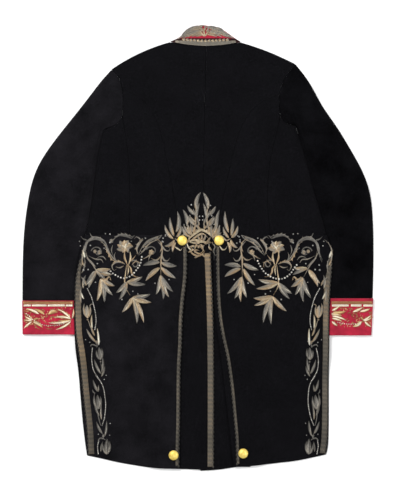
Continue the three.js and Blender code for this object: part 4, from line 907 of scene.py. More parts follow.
for foot, tip, wide, bend in CROWN_LEAVES:
    down = min(1, max(0, (CROWN_TONE["from"] - tip[1]) / CROWN_TONE["over"]))
    tone = CROWN_TONE["top"] + CROWN_TONE["gilt"] * down + tone_draw.uniform(0, CROWN_TONE["vary"])
    leaf(crown, foot, tip, wide, bend, tone=tone)
for through, wide, tone in CROWN_SCROLLS:
    scroll(crown, through, wide, start=0.6, tone=tone)
for row in CROWN_ACANTHUS:
    acanthus(crown, *row)
finished(crown, "crown_goldwork", bullion, "goldwork", "crown_embroidery")

# The hips: acanthus scrolls along the waist seam, a flower on a calyx, and hanging leaf sprays. The scrolls
# are laid out for the right hip, and the left ones are their mirror image about this line. Each hip has
# sprays and a flower of its own.
MIRROR = -7.5
HIP_SCROLLS = [
    # through, wide, tone
    ([(80, 0), (86, -7), (98, -8), (110, -15), (123, -27), (131, -41)], 5.5, 0.18),
    ([(109, -21), (121, -35), (131, -45)], 4.0, 0.3),
    ([(89, -14), (81, -23), (73, -33), (65, -35), (62, -29), (66, -27)], 3.8, 0.3),
    ([(81, -20), (79, -33), (81, -46), (82, -60), (82, -94)], 4.0, 0.5),
    ([(80, -42), (76, -54), (68, -57), (62, -50)], 4.0, 0.4),
    ([(82, -46), (89, -54), (96, -55), (104, -51)], 3.4, 0.5),
    ([(103, -40), (107, -44), (114, -49), (122, -53)], 3.0, 0.5),
    ([(102, -42), (107, -47), (110, -57)], 2.6, 0.4),
    ([(121, -10), (130, -19), (135, -31), (132, -43)], 5.0, 0.35),
    ([(125, -13), (130, -7), (136, -4), (140, -8)], 3.0, 0.25),
    ([(140, -1), (147, -7), (157, -3), (172, -1), (183, -7), (189, -17)], 4.4, 0.1),
    ([(150, -37), (149, -50), (152, -61), (155, -72)], 4.6, 0.72),
    ([(162, -36), (162, -50), (158, -61), (155, -72)], 4.6, 0.62),
    ([(157, -64), (149, -73), (147, -83), (140, -91), (131, -92)], 4.4, 0.6),
    ([(155, -68), (154, -78), (156, -90)], 3.6, 0.75),
    ([(158, -66), (160, -83), (162, -100), (160, -116), (150, -133)], 3.4, 0.7),
    ([(153, -60), (146, -55), (140, -48), (137, -44)], 3.4, 0.55),
    ([(161, -64), (172, -60), (183, -61), (190, -68), (186, -78), (180, -75)], 3.8, 0.4),
    ([(164, -68), (173, -72), (182, -70)], 3.0, 0.45),
    ([(172, -60), (184, -54), (193, -43), (198, -29)], 3.2, 0.3),
    ([(182, -54), (185, -46), (182, -38)], 2.8, 0.3),
    ([(188, -22), (191, -33), (188, -45)], 2.6, 0.25),
    ([(238, 4), (233, -4), (218, -7), (207, -14), (201, -25), (196, -38), (191, -46)], 4.4, 0.2),
    ([(210, -14), (226, -9), (241, -13), (249, -25), (252, -41), (258, -55)], 5.2, 0.2),
    ([(241, -12), (252, -9), (258, -3)], 3.0, 0.15),
    ([(203, -55), (209, -48), (218, -48), (224, -52)], 2.8, 0.3),
    ([(209, -61), (214, -54), (226, -53), (241, -46)], 3.2, 0.35),
    ([(249, -38), (241, -54), (232, -65), (226, -76), (217, -93)], 3.6, 0.35),
]
HIP_ACANTHUS = [
    # through, wide, tone, lobes, long, side
    ([(82, -1), (96, -6), (112, -14), (124, -28), (131, -43)], 3.6, 0.3, 5, 8.5, -1),
    ([(86, -10), (101, -15), (115, -26), (127, -42)], 3.0, 0.42, 4, 7.0, 1),
    ([(122, -8), (131, -18), (136, -30), (132, -44)], 3.6, 0.4, 4, 8.0, 1),
    ([(144, -4), (156, 0), (170, 1), (182, -5), (190, -16)], 3.2, 0.22, 6, 7.5, 1),
    ([(206, -12), (220, -5), (233, -6), (244, -17), (249, -38), (257, -60)], 4.0, 0.25, 5, 7.0, 1),
    ([(192, -46), (200, -34), (205, -22), (216, -12)], 3.2, 0.4, 4, 7.0, -1),
    ([(203, -30), (196, -44), (190, -54), (178, -60)], 3.2, 0.6, 4, 8.0, 1),
    ([(162, -64), (174, -58), (186, -60), (190, -70)], 3.2, 0.55, 4, 6.5, 1),
    ([(146, -66), (138, -58), (130, -62), (130, -72)], 3.0, 0.5, 4, 6.0, -1),
    ([(84, -38), (80, -26), (84, -14), (94, -8)], 3.0, 0.5, 3, 7.0, 1),
    ([(212, -92), (204, -98), (196, -92), (192, -100)], 4.0, 0.62, 4, 7.5, 1),
    ([(225, -70), (234, -60), (243, -50), (246, -36)], 2.8, 0.3, 4, 6.0, -1),
]
HIP_VOLUTES = [
    {"centre": (102, -36), "radius": 12.5, "turns": 0.8, "begin": 0.3, "wide": 2.8},
    {"centre": (140, -65), "radius": 10, "turns": 0.85, "begin": 0.9, "wide": 3.2},
    {"centre": (222, -38), "radius": 13.5, "turns": 0.85, "begin": 0.2, "wide": 2.8},
]
HIP_ROSETTES = [
    # centre, radius, tone
    ((103, -38), 6.5, 0.62), ((217, -38), 5.6, 0.4), ((227, -36), 4.5, 0.5), ((191, -13), 5, 0.3),
]
HIPS = {
    "left": {
        "flower": (-176, -27),
        "sprays": [
            # hub, tips, width of a leaf
            ((-99, -60), [(-137, -67)], 9.5), ((-99, -72), [(-131, -101)], 9.5),
            ((-97, -60), [(-62, -68)], 9.5), ((-97, -70), [(-64, -95)], 9.5),
            ((-98, -88), [(-108, -131), (-92, -142), (-79, -137), (-70, -125)], 9.5),
            ((-172, -103), [(-138, -92), (-131, -108), (-196, -127), (-189, -142)], 9.0),
            ((-160, -137), [(-121, -131), (-118, -148), (-183, -170), (-150, -195), (-135, -193)], 9.5),
            ((-240, -78), [(-265, -111), (-256, -117)], 10.5),
            ((-241, -77), [(-208, -75), (-205, -87), (-221, -98)], 10.0),
            ((-230, -96), [(-238, -145), (-222, -148), (-203, -133), (-199, -112)], 9.5),
        ],
    },
    "right": {
        "flower": (157, -29),
        "sprays": [
            ((79, -70), [(43, -66)], 9.5), ((79, -74), [(43, -92)], 9.5),
            ((84, -62), [(118, -77)], 9.5), ((85, -74), [(110, -111)], 9.5),
            ((81, -92), [(49, -129), (65, -140), (79, -147), (92, -138)], 9.5),
            ((162, -105), [(118, -98), (113, -118), (192, -129), (187, -141)], 9.5),
            ((149, -135), [(107, -139), (108, -155), (128, -194), (146, -197), (180, -168)], 9.5),
            ((226, -73), [(195, -72), (193, -88)], 8.5), ((228, -76), [(253, -106), (248, -114)], 9.5),
            ((215, -93), [(190, -114), (198, -132), (217, -148), (233, -139)], 9.5),
        ],
    },
}
FLOWER = {"bend": 0.08, "high": 1.8, "eye": 4.0, "eye_petals": 5, "eye_tone": 0.95}
FLOWER_PETALS = [
    # turn from level in degrees, reach, wide, tone
    (88, 16, 10, 0.8), (52, 18, 12, 0.5), (20, 18, 10, 0.75), (-12, 19, 12, 0.45), (-62, 13, 9, 0.6),
    (-122, 14, 9, 0.5), (176, 18, 12, 0.55), (146, 15, 9, 0.85), (120, 17, 12, 0.5),
]
SWAGS = {
    "left": [(-208, -80), (-202, -85), (-190, -92), (-177, -95), (-162, -89), (-149, -74), (-142, -62),
             (-139, -48)],
    "right": [(116, -57), (123, -71), (131, -82), (138, -87), (147, -93), (157, -96), (168, -97), (180, -92),
              (190, -83), (195, -75), (202, -66)],
}

# The vine: beaded stems that swing beside the edge lace, with tulip buds, hooked stalks and leaves. Its
# places are measured in from the front edge of the tail, and up from the waist seam.
VINE_STEMS = [
    [(29, -118), (38, -137), (43, -155), (46.6, -173), (47.5, -191), (44, -208)],
    [(33.5, -249), (30, -264), (28.5, -278), (30, -297), (37, -312), (44.5, -325), (48.5, -338), (50, -355),
     (50, -371), (48, -385), (43.5, -404), (37, -419)],
    [(27, -454), (24, -466), (25, -482)],
]
EDGE_ACANTHUS = [
    # through, wide, tone, lobes, long, side: up the edge, above where the lace begins
    ([(9, -74), (8, -56), (5, -36), (7, -20), (13, -10)], 3.8, 0.35, 6, 6.0, -1),
    ([(13, -84), (16, -70), (14, -56), (9, -46)], 3.2, 0.3, 4, 5.5, 1),
]
VINE_NEARER = 4.5  # how much nearer to its edge the right vine is sewn, in mm
VINE_CORD = {"wide": 1.8, "high": 0.7, "tone": 0.25, "stops": 40}  # the couched cord under the beads
VINE_STALKS = [
    # through, wide
    ([(31, -188), (35, -202), (42, -220)], 2.2), ([(47.5, -283), (48.5, -292), (47, -304)], 2.2),
    ([(30, -391), (31, -404), (34, -420)], 2.2), ([(30, -245), (33, -241), (38, -242), (45, -246)], 3.0),
    ([(25.5, -453), (30, -448), (36, -448), (42, -452)], 3.0), ([(44, -232), (45, -240), (43, -248)], 2.6),
    ([(33.5, -309), (38, -316), (43.5, -323)], 2.4), ([(37, -438), (38, -446), (34, -450)], 2.6),
    ([(34, -156), (38, -152), (42, -153)], 2.0), ([(29, -350), (25, -346), (24, -341)], 2.0),
]
VINE_BUDS = [
    # base, top, wide, tips of the petals that curl away on either side
    {"base": (29.5, -183), "top": (28, -154), "wide": 12.5, "petals": [(23, -150), (34, -154)]},
    {"base": (47.5, -275), "top": (48, -247), "wide": 11.5, "petals": [(41, -253), (53, -249)]},
    {"base": (31, -385), "top": (34, -352), "wide": 12.5, "petals": [(28, -349), (40, -355)]},
    {"base": (43.5, -483.5), "top": (46, -449), "wide": 12.5, "petals": [(36, -459), (51, -454)]},
]
VINE_LEAVES = [
    # foot, tip, wide, bend, tone
    ((13, -50), (5, -33), 5.0, 0.05, 1.0), ((14, -68), (6, -50), 4.0, 0.05, 0.6),
    ((20, -118), (23, -88), 6.0, 0.08, 0.3), ((26, -112), (13, -92), 5.0, -0.08, 0.4),
    ((16, -150), (16, -112), 5.2, 0.05, 0.35), ((48, -301), (53, -268), 5.6, -0.06, 0.16),
    ((33, -398), (25, -370), 5.0, 0.06, 0.14), ((43, -222), (36, -198), 4.6, 0.05, 0.5),
    ((22, -141), (14, -122), 4.5, 0.05, 0.95), ((39, -205), (39, -175), 4.6, 0.05, 0.85),
    ((43, -236), (26, -206), 6.0, 0.05, 0.45), ((48, -243), (49, -205), 5.0, -0.03, 1.0),
    ((45.5, -306), (34, -274), 6.2, 0.05, 0.2), ((46, -312), (56, -289), 5.0, -0.05, 0.25),
    ((35, -345), (27, -319), 6.0, 0.05, 0.16), ((36.5, -345), (38.5, -330), 4.0, 0.0, 0.3),
    ((37, -407), (41, -374), 4.8, 0.05, 0.3), ((36, -438), (25, -411), 6.2, 0.05, 0.16),
    ((41, -443), (48, -409), 6.2, -0.05, 0.2), ((31, -478), (36, -455), 4.0, 0.05, 0.15),
]
VINE_PETAL = {"narrow": 0.42, "bend": 0.13}  # narrow is a share of its bud's width
VINE_KNOTS = [
    # centre, radius
    ((45, -236), 3.6), ((38, -443), 3.6), ((47.5, -279), 2.6), ((30, -388), 2.6), ((29.5, -186), 2.6),
]
VINE_DOTS = [(52, -234), (30, -236), (27, -439), (52, -441), (25, -346), (57, -309), (22, -230), (55, -415),
             (52, -318)]
# Above the first number the wire has kept more of its gilding: its tone there, and its tone below.
VINE_TONES = {"stalk": (-230, 0.45, 0.15), "bud": (-200, 0.42, 0.12), "knot": (-240, 0.5, 0.2)}


def vine_tone(kind, y):
    """The tone of one kind of form on the vine at so far up it."""
    above, gilt_tone, worn_tone = VINE_TONES[kind]
    return gilt_tone if y > above else worn_tone


def mirrored(points, side):
    """Plan points of the right hip as they are for one side: -1 is the left."""
    return [(x if side > 0 else 2 * MIRROR - x, y) for x, y in points]


def edge_x(edge, y):
    """Where a tail's front edge is, across the coat, at so far up it."""
    line = smooth_line(edge, 200)
    return np.interp(-np.asarray(y, float), -line[:, 1], line[:, 0])


def from_edge(points, side):
    """Plan points from places measured in from a tail's front edge."""
    edge = EDGE_RIGHT if side > 0 else EDGE_LEFT
    inset, y = np.array(points, float).T
    inset = inset - (VINE_NEARER if side > 0 else 0)
    return np.column_stack([edge_x(edge, y) - side * inset, y])


for side_name, side in (("left", -1), ("right", 1)):
    hip = new_work()
    for through, wide, tone in HIP_SCROLLS:
        scroll(hip, mirrored(through, side), wide, tone=tone)
    for row in HIP_VOLUTES:
        begin = row["begin"] if side > 0 else math.pi - row["begin"]
        centre = mirrored([row["centre"]], side)[0]
        volute(hip, centre, row["radius"], row["turns"], begin, row["wide"], way=side)
    for centre, radius, tone in HIP_ROSETTES:
        rosette(hip, mirrored([centre], side)[0], radius, tone=tone)
    flower = HIPS[side_name]["flower"]
    for degrees, reach, wide, tone in FLOWER_PETALS:
        turn = math.radians(degrees)
        tip = (flower[0] + side * reach * math.cos(turn), flower[1] + reach * math.sin(turn))
        leaf(hip, flower, tip, wide, bend=FLOWER["bend"], high=FLOWER["high"], tone=tone)
    rosette(hip, flower, FLOWER["eye"], petals=FLOWER["eye_petals"], tone=FLOWER["eye_tone"])
    for through, wide, tone, lobes, long, out in HIP_ACANTHUS:
        acanthus(hip, mirrored(through, side), wide, tone, lobes, long, out * side)
    for hub, tips, wide in HIPS[side_name]["sprays"]:
        spray(hip, hub, tips, wide)
    for through, wide, tone, lobes, long, out in EDGE_ACANTHUS:
        acanthus(hip, from_edge(through, side), wide, tone, lobes, long, out * side)
    for through in VINE_STEMS:
        path = smooth_line(from_edge(through, side), VINE_CORD["stops"])
        wide, high = (np.full(len(path), VINE_CORD[size]) for size in ("wide", "high"))
        sew(hip, path, wide, high, ROUND_CORD, VINE_CORD["tone"])
    for through, wide in VINE_STALKS:
        tone = vine_tone("stalk", through[0][1])
        scroll(hip, from_edge(through, side), wide, start=0.7, end=0.5, tone=tone)
    for foot, tip, wide, bend, tone in VINE_LEAVES:
        ends = from_edge([foot, tip], side)
        leaf(hip, ends[0], ends[1], wide, -side * bend, tone=tone)
    for row in VINE_BUDS:
        base, top = from_edge([row["base"], row["top"]], side)
        tone = vine_tone("bud", top[1])
        leaf(hip, base, top, row["wide"], tone=tone)
        for tip, way in zip(from_edge(row["petals"], side), (1, -1)):
            wide, bend = row["wide"] * VINE_PETAL["narrow"], -VINE_PETAL["bend"] * way * side
            leaf(hip, base, tip, wide, bend, tone=tone + 0.1)
    for place, radius in VINE_KNOTS:
        tone = vine_tone("knot", place[1])
        rosette(hip, from_edge([place], side)[0], radius, petals=5, tone=tone)
    finished(hip, "tail_goldwork_" + side_name, bullion, "goldwork", "tail_embroidery_" + side_name)

# ---------- Goldwork on the cuffs and the collar ----------
# The same work. On a cuff it is in brighter wire that has kept its gilding: a lace band with bars of
# plate under it, twin leaves, a crossed spray and a fan over chips of purl. The collar is covered with
# drooping leaves in the duller wire.

bright_bullion = thread_material(
    "bright_gilt_bullion", [(0.0, "#94583f"), (0.4, "#bf9465"), (0.7, "#e6c98c"), (1.0, "#fff6e0")],
    rough=0.36, pitch=1.1, slant=0.9, metal=0.8)

# Places on a cuff are measured in from its outer edge, and up from the waist seam. shown is how far in the
# cuff goes before the tail covers it.
CUFFS = {
    "left": {
        "outer": -403, "way": 1, "shown": 113, "bars": [(4, 20), (22, 55), (57, 95), (97, 112)],
        "arc": [(10, -173), (21, -183), (32, -191), (48, -198), (65, -199), (81, -198), (92, -195)],
        "leaves": [
            # foot, tip, wide, bend, tone
            ((38, -174), (9, -162), 5.4, -0.05, 0.95), ((50, -175), (26, -163), 5.2, -0.06, 0.6),
            ((23, -187), (6, -178), 3.8, 0.05, 1.0), ((22, -189), (4, -187), 3.4, 0.0, 0.9),
            ((22, -191), (4, -206), 3.8, -0.05, 1.0), ((25, -191), (46, -204), 6.2, 0.10, 0.7),
            ((24, -187), (14, -174), 3.0, 0.05, 0.5), ((26, -188), (38, -184), 3.2, 0.1, 0.5),
            ((58, -175), (80, -170), 5.4, 0.12, 0.5), ((60, -171), (76, -166), 4.0, 0.1, 0.75),
            ((107, -183), (79, -163), 4.4, -0.05, 1.0), ((109, -185), (70, -182), 4.2, -0.08, 0.95),
            ((108, -188), (58, -193), 4.4, 0.05, 1.0), ((108, -190), (75, -208), 4.4, 0.06, 1.0),
            ((111, -184), (114, -162), 3.4, -0.05, 0.9), ((109, -187), (80, -188), 3.2, 0.05, 0.7),
        ],
        "scrolls": [
            [(12, -178), (6, -172), (5, -166)], [(62, -181), (70, -179), (79, -181)],
            [(85, -172), (90, -166), (97, -164)], [(52, -204), (60, -207), (70, -206)],
            [(24, -190), (30, -200), (36, -206), (46, -208)],
        ],
    },
    "right": {
        "outer": 371, "way": -1, "shown": 93, "bars": [(2, 23), (27, 50), (55, 92)],
        "arc": [(30, -196), (40, -196), (52, -196), (66, -195), (79, -192)],
        "leaves": [
            # foot, tip, wide, bend, tone
            ((46, -169), (24, -159), 4.8, 0.05, 1.0), ((30, -168), (8, -162), 4.6, 0.05, 0.9),
            ((41, -167), (27, -161), 3.2, 0.05, 0.6), ((24, -188), (5, -176), 3.6, 0.05, 1.0),
            ((22, -189), (4, -182), 3.4, 0.05, 0.9), ((20, -190), (5, -202), 4.0, 0.05, 1.0),
            ((27, -190), (46, -201), 6.4, -0.10, 0.85), ((24, -187), (30, -180), 3.0, 0.05, 0.5),
            ((92, -166), (76, -157), 4.4, 0.05, 0.95), ((90, -170), (60, -167), 5.0, 0.08, 0.6),
            ((93, -174), (80, -175), 3.6, 0.0, 0.8), ((92, -178), (60, -188), 4.8, -0.06, 1.0),
            ((92, -183), (69, -190), 4.2, -0.06, 0.95), ((92, -190), (80, -200), 4.2, 0.0, 1.0),
            ((93, -172), (70, -177), 3.4, 0.0, 0.9),
        ],
        "scrolls": [
            [(56, -160), (50, -164), (46, -162)],
            [(50, -176), (42, -173), (36, -177), (40, -183), (47, -182)],
            [(12, -170), (6, -170), (3, -166)], [(58, -172), (52, -171), (48, -174)],
        ],
    },
}
CHIPS = {"count": 130, "long": 4.2, "wide": 1.9, "thick": 0.5, "low": -202, "top": -160, "seed": 7}
chip_draw = random.Random(CHIPS["seed"])
GILT_PLATE = [(-1, 0.3), (-0.85, 0.8), (-0.4, 1), (0.4, 1), (0.85, 0.8), (1, 0.3), (0.5, 0), (-0.5, 0)]
CUFF_LACE = {"up": -148.8, "from": 3, "wide": 6.0, "high": 0.9, "tone": 0.22, "stops": 40}
CUFF_BAR = {"up": -155.0, "wide": 4.8, "high": 1.3, "tone": 1.0, "stops": 12}
CUFF_LEAF = {"high": 1.5, "ground": 3.2, "ground_high": 0.7, "ground_tone": 0.1}  # on a wider, darker ground


def on_cuff(points, cuff):
    """Plan points from places on a cuff."""
    return [(cuff["outer"] + cuff["way"] * u, y) for u, y in points]


def straight(work, cuff, start, end, row, section):
    """A strip sewn level across a cuff, from one place to another."""
    places = [(u, row["up"]) for u in np.linspace(start, end, row["stops"])]
    wide, high = (np.full(row["stops"], row[size]) for size in ("wide", "high"))
    sew(work, np.array(on_cuff(places, cuff)), wide, high, section, row["tone"])


for side_name, cuff in CUFFS.items():
    work = new_work()
    straight(work, cuff, CUFF_LACE["from"], cuff["shown"], CUFF_LACE, FLAT_BAND)
    for start, end in cuff["bars"]:
        straight(work, cuff, start, end, CUFF_BAR, GILT_PLATE)
    for _ in range(CHIPS["count"]):
        foot = (chip_draw.uniform(4, cuff["shown"] - 5), chip_draw.uniform(CHIPS["low"], CHIPS["top"]))
        turn = chip_draw.uniform(0, math.tau)
        tip = (foot[0] + CHIPS["long"] * math.cos(turn), foot[1] + CHIPS["long"] * math.sin(turn))
        ends = on_cuff([foot, tip], cuff)
        tone = chip_draw.uniform(0.1, 0.7)
        leaf(work, ends[0], ends[1], CHIPS["wide"], high=CHIPS["thick"], tone=tone, stops=6)
    for foot, tip, wide, bend, tone in cuff["leaves"]:
        ends = on_cuff([foot, tip], cuff)
        leaf(work, ends[0], ends[1], wide + CUFF_LEAF["ground"], cuff["way"] * bend,
             high=CUFF_LEAF["ground_high"], tone=CUFF_LEAF["ground_tone"])
        leaf(work, ends[0], ends[1], wide, cuff["way"] * bend, high=CUFF_LEAF["high"], tone=tone)
    for through in cuff["scrolls"]:
        scroll(work, on_cuff(through, cuff), 2.6, tone=0.15)
    finished(work, "cuff_goldwork_" + side_name, bright_bullion, "goldwork", "cuff_embroidery_" + side_name)

COLLAR_BAND = [(-66, 426), (-40, 423), (-16, 421.5), (3, 421), (22, 421.5), (46, 423), (68, 425.5)]
COLLAR_LEAVES = [
    # foot, tip, wide, bend, tone
    ((-4, 459), (-54, 435), 6.5, -0.14, 0.3), ((-4, 455), (-50, 434), 6.0, -0.12, 0.4),
    ((-5, 451), (-45, 434), 5.6, -0.10, 0.3), ((-5, 448), (-38, 434), 5.2, -0.08, 0.45),
    ((-4, 445), (-30, 435), 5.0, -0.06, 0.5), ((-3, 441), (-21, 436), 4.6, -0.04, 0.55),
    ((2, 457), (34, 450), 6.5, 0.10, 0.25), ((8, 454), (54, 435), 6.0, 0.10, 0.3),
    ((10, 450), (60, 432.5), 5.6, 0.10, 0.4), ((6, 449), (48, 434), 5.2, 0.08, 0.3),
    ((4, 446), (38, 435), 5.0, 0.06, 0.45), ((3, 442), (27, 436), 4.6, 0.04, 0.5),
    ((-14, 458), (-40, 444), 5.0, -0.12, 0.35), ((18, 456), (44, 446), 5.0, 0.12, 0.35),
    ((-2, 437), (-12, 450), 4.0, 0.05, 0.7), ((0, 437), (8, 451), 4.0, -0.05, 0.7),
    ((-1, 436), (-3, 455), 4.4, 0.0, 0.6), ((-4, 448), (-8, 459), 5.0, 0.1, 0.4),
    ((2, 447), (8, 457), 5.0, -0.1, 0.4), ((-1, 449), (1, 460), 4.6, 0.0, 0.45),
    ((22, 443), (56, 433), 4.6, 0.08, 0.45), ((-20, 441), (-50, 432.5), 4.6, -0.06, 0.5),
    ((30, 447), (64, 431), 4.8, 0.08, 0.3), ((-30, 443), (-60, 430.5), 4.8, -0.08, 0.35),
]
COLLAR_RIM = [(-60, 431.5), (-47, 440.5), (-36, 449), (-25, 455.5), (-13, 460), (-4, 461), (8, 457.5),
              (21, 457), (32, 453.5), (43, 447), (53, 440.5), (62, 433)]
COLLAR_LACE = {"wide": 9.5, "high": 1.0, "tone": 0.35, "stops": 60}
COLLAR_CORD = {"wide": 2.2, "high": 1.0, "tone": 0.3, "stops": 70}
SCALLOPS = {"from": -47, "to": 49, "count": 13, "above": 3.0, "lean": 0.4, "long": 6.5, "wide": 7.6,
            "high": 1.6, "tone": 0.5}
collar_work = new_work()
line = smooth_line(COLLAR_BAND, COLLAR_LACE["stops"])
share = np.sin(np.pi * np.linspace(0.06, 0.94, len(line))) ** 0.5
sew(collar_work, line, COLLAR_LACE["wide"] * share, np.full(len(line), COLLAR_LACE["high"]), FLAT_BAND,
    COLLAR_LACE["tone"])
for foot, tip, wide, bend, tone in COLLAR_LEAVES:
    leaf(collar_work, foot, tip, wide, bend, high=1.3, tone=tone)
rim_line = smooth_line(COLLAR_RIM, COLLAR_CORD["stops"])
wide, high = (np.full(len(rim_line), COLLAR_CORD[size]) for size in ("wide", "high"))
sew(collar_work, rim_line, wide, high, ROUND_CORD, COLLAR_CORD["tone"])
for x in np.linspace(SCALLOPS["from"], SCALLOPS["to"], SCALLOPS["count"]):
    foot = (x, float(np.interp(x, line[:, 0], line[:, 1])) + SCALLOPS["above"])
    tip = (x + SCALLOPS["lean"], foot[1] + SCALLOPS["long"])
    leaf(collar_work, foot, tip, SCALLOPS["wide"], high=SCALLOPS["high"], tone=SCALLOPS["tone"])
finished(collar_work, "collar_goldwork", bullion, "goldwork", "collar_embroidery")

# ---------- Beads and sequins ----------
# Round beads strung along the swags, the vine and the cuffs, and cupped silvered sequins with a bead in
# the middle, sewn on one by one where the work leaves the cloth bare.

DULLED = 6.25  # mm between the duller places


def silvered(name, code, rough):
    """Silvered metal or glass, a little dulled: it throws back points of light."""
    made = bpy.data.materials.new(name)
    made.use_nodes = True
    tree = made.node_tree
    shader = tree.nodes["Principled BSDF"]
    place = node(tree, "ShaderNodeTexCoord").outputs["Object"]
    dull = node(tree, "ShaderNodeTexNoise", {"Vector": place, "Scale": 1000 / DULLED, "Detail": 2})
    shade = node(tree, "ShaderNodeValToRGB", {"Fac": dull.outputs["Fac"]})
    shade.color_ramp.elements[0].position = 0.35
    shade.color_ramp.elements[0].color = linear("#8e8b86")
    shade.color_ramp.elements[1].position = 0.6
    shade.color_ramp.elements[1].color = linear(code)
    tree.links.new(shade.outputs["Color"], shader.inputs["Base Color"])
    shader.inputs["Metallic"].default_value = 0.7
    shader.inputs["Roughness"].default_value = rough
    return made


bead_glass = silvered("silvered_glass_beads", "#f2eee6", 0.3)
sequin_metal = silvered("silvered_sequins", "#c9c7c2", 0.3)
beads_tree = follow("strung_beads", (10, 7), False)


def dotted(tree_name):
    """Geometry Nodes: a cupped sequin with a bead in it on each point, sized by the point."""
    tree = bpy.data.node_groups.new(tree_name, "GeometryNodeTree")
    face = tree.interface
    face.new_socket("Points", in_out="INPUT", socket_type="NodeSocketGeometry")
    face.new_socket("Radius", in_out="INPUT", socket_type="NodeSocketFloat")
    face.new_socket("Cup", in_out="INPUT", socket_type="NodeSocketFloat")
    face.new_socket("Seed", in_out="INPUT", socket_type="NodeSocketInt")
    face.new_socket("Finish", in_out="INPUT", socket_type="NodeSocketMaterial")
    face.new_socket("Work", in_out="OUTPUT", socket_type="NodeSocketGeometry")
    given = node(tree, "NodeGroupInput").outputs
    cup = node(tree, "GeometryNodeMeshCone", {
        "Vertices": 14, "Side Segments": 1, "Fill Segments": 1, "Radius Top": 0.62, "Radius Bottom": 1.0,
        "Depth": given["Cup"]})
    bead = node(tree, "GeometryNodeMeshUVSphere", {"Segments": 8, "Rings": 6, "Radius": 0.42})
    high = node(tree, "ShaderNodeCombineXYZ", {"Z": given["Cup"]})
    lifted = node(tree, "GeometryNodeTransform", {"Geometry": bead.outputs["Mesh"],
                                                  "Translation": high.outputs[0]})
    whole = node(tree, "GeometryNodeJoinGeometry")
    tree.links.new(cup.outputs["Mesh"], whole.inputs["Geometry"])
    tree.links.new(lifted.outputs["Geometry"], whole.inputs["Geometry"])
    points = node(tree, "GeometryNodeMeshToPoints", {"Mesh": given["Points"]})
    size = node(tree, "GeometryNodeInputNamedAttribute", {"Name": "size"}, data_type="FLOAT")
    scale = node(tree, "ShaderNodeMath", {0: size.outputs["Attribute"], 1: given["Radius"]},
                 operation="MULTIPLY")
    tilt = node(tree, "FunctionNodeRandomValue", {
        "Min": (-0.28, -0.28, 0), "Max": (0.28, 0.28, 3.1), "Seed": given["Seed"]}, data_type="FLOAT_VECTOR")
    sewn = node(tree, "GeometryNodeInstanceOnPoints", {
        "Points": points.outputs["Points"], "Instance": whole.outputs["Geometry"],
        "Rotation": tilt.outputs["Value"], "Scale": scale.outputs[0]})
    real = node(tree, "GeometryNodeRealizeInstances", {"Geometry": sewn.outputs["Instances"]})
    finish = node(tree, "GeometryNodeSetMaterial", {"Geometry": real.outputs["Geometry"],
                                                    "Material": given["Finish"]})
    out = node(tree, "NodeGroupOutput")
    tree.links.new(finish.outputs["Geometry"], out.inputs["Work"])
    return tree


sequins_tree = dotted("sewn_sequins")
BEADS = {"swag": (6.4, 2.2), "vine": (3.6, 1.2), "cuff": (4.6, 1.4)}  # pitch and radius in mm


def strung(path, kind, finish):
    """A string of round beads along a plan line."""
    pitch, radius = BEADS[kind]
    return grown(beads_tree, draped(path, radius * 0.9), chain(len(path)), {
        "Pitch": pitch / 1000, "Size": [radius / 1000] * 3, "Finish": finish})


HIP_SEQUINS = [
    # place, size; laid out for the right hip, as the scrolls are
    ((116, -7), 1.2), ((109, -87), 1.2), ((95, -106), 1.2), ((64, -98), 1.1), ((144, -124), 1.2),
    ((133, -130), 1.3), ((168, -142), 1.5), ((194, 2), 1.3), ((204, 3), 1.2), ((194, -17), 1.4),
    ((237, -23), 1.3), ((222, -63), 1.3), ((242, -76), 1.4), ((251, -66), 1.3), ((252, -77), 1.8),
    ((261, -14), 1.2), ((259, -24), 1.1), ((199, -95), 1.1), ((226, -104), 1.0), ((72, -2), 1.2),
    ((77, -15), 1.3), ((60, -22), 1.2), ((147, -14), 1.0), ((71, -63), 1.1), ((207, -29), 1.0),
    ((234, -62), 1.0),
]
CROWN_SEQUINS = [
    # place, size
    ((-30, 66), 1.3), ((12, 65), 1.3), ((-12, 41), 1.3), ((-5, 41), 1.3), ((-12, 33), 1.3), ((-5, 33), 1.3),
    ((-33, 43), 1.1), ((15, 42), 1.1), ((-58, 22), 1.2), ((-46, 23), 1.2), ((-87, 0), 1.3), ((-92, -7), 1.3),
    ((-94, -14), 1.2), ((20, 23), 1.2), ((31, 19), 1.2), ((75, -4), 1.3), ((77, -11), 1.2), ((70, -18), 1.1),
    ((41, 1), 1.1), ((-25, -26), 1.2), ((-43, 6), 1.0), ((9, -22), 1.1),
]
SEQUIN = {"radius": 1.25, "cup": 0.35, "seed": 3, "clear": 0.5}  # the cup's depth is a share of its radius
bead_meshes, sequin_rows = [], list(CROWN_SEQUINS)
for side_name, side in (("left", -1), ("right", 1)):
    bead_meshes.append(strung(smooth_line(SWAGS[side_name], 60), "swag", bead_glass))
    for through in VINE_STEMS:
        bead_meshes.append(strung(smooth_line(from_edge(through, side), 60), "vine", bead_glass))
    sequin_rows += [(mirrored([spot], side)[0], size) for spot, size in HIP_SEQUINS]
    sequin_rows += [(tuple(spot), 1.0) for spot in from_edge(VINE_DOTS, side)]
for cuff in CUFFS.values():
    bead_meshes.append(strung(smooth_line(on_cuff(cuff["arc"], cuff), 50), "cuff", bead_glass))
merged("strung_beads", bead_meshes, bead_glass)
places = np.array([spot for spot, _ in sequin_rows], float)
sequins = grown(sequins_tree, draped(places, SEQUIN["clear"]), [], {
    "Radius": SEQUIN["radius"] / 1000, "Cup": SEQUIN["cup"], "Seed": SEQUIN["seed"], "Finish": sequin_metal},
    {"size": [size for _, size in sequin_rows]})
merged("sewn_sequins", [sequins], sequin_metal)

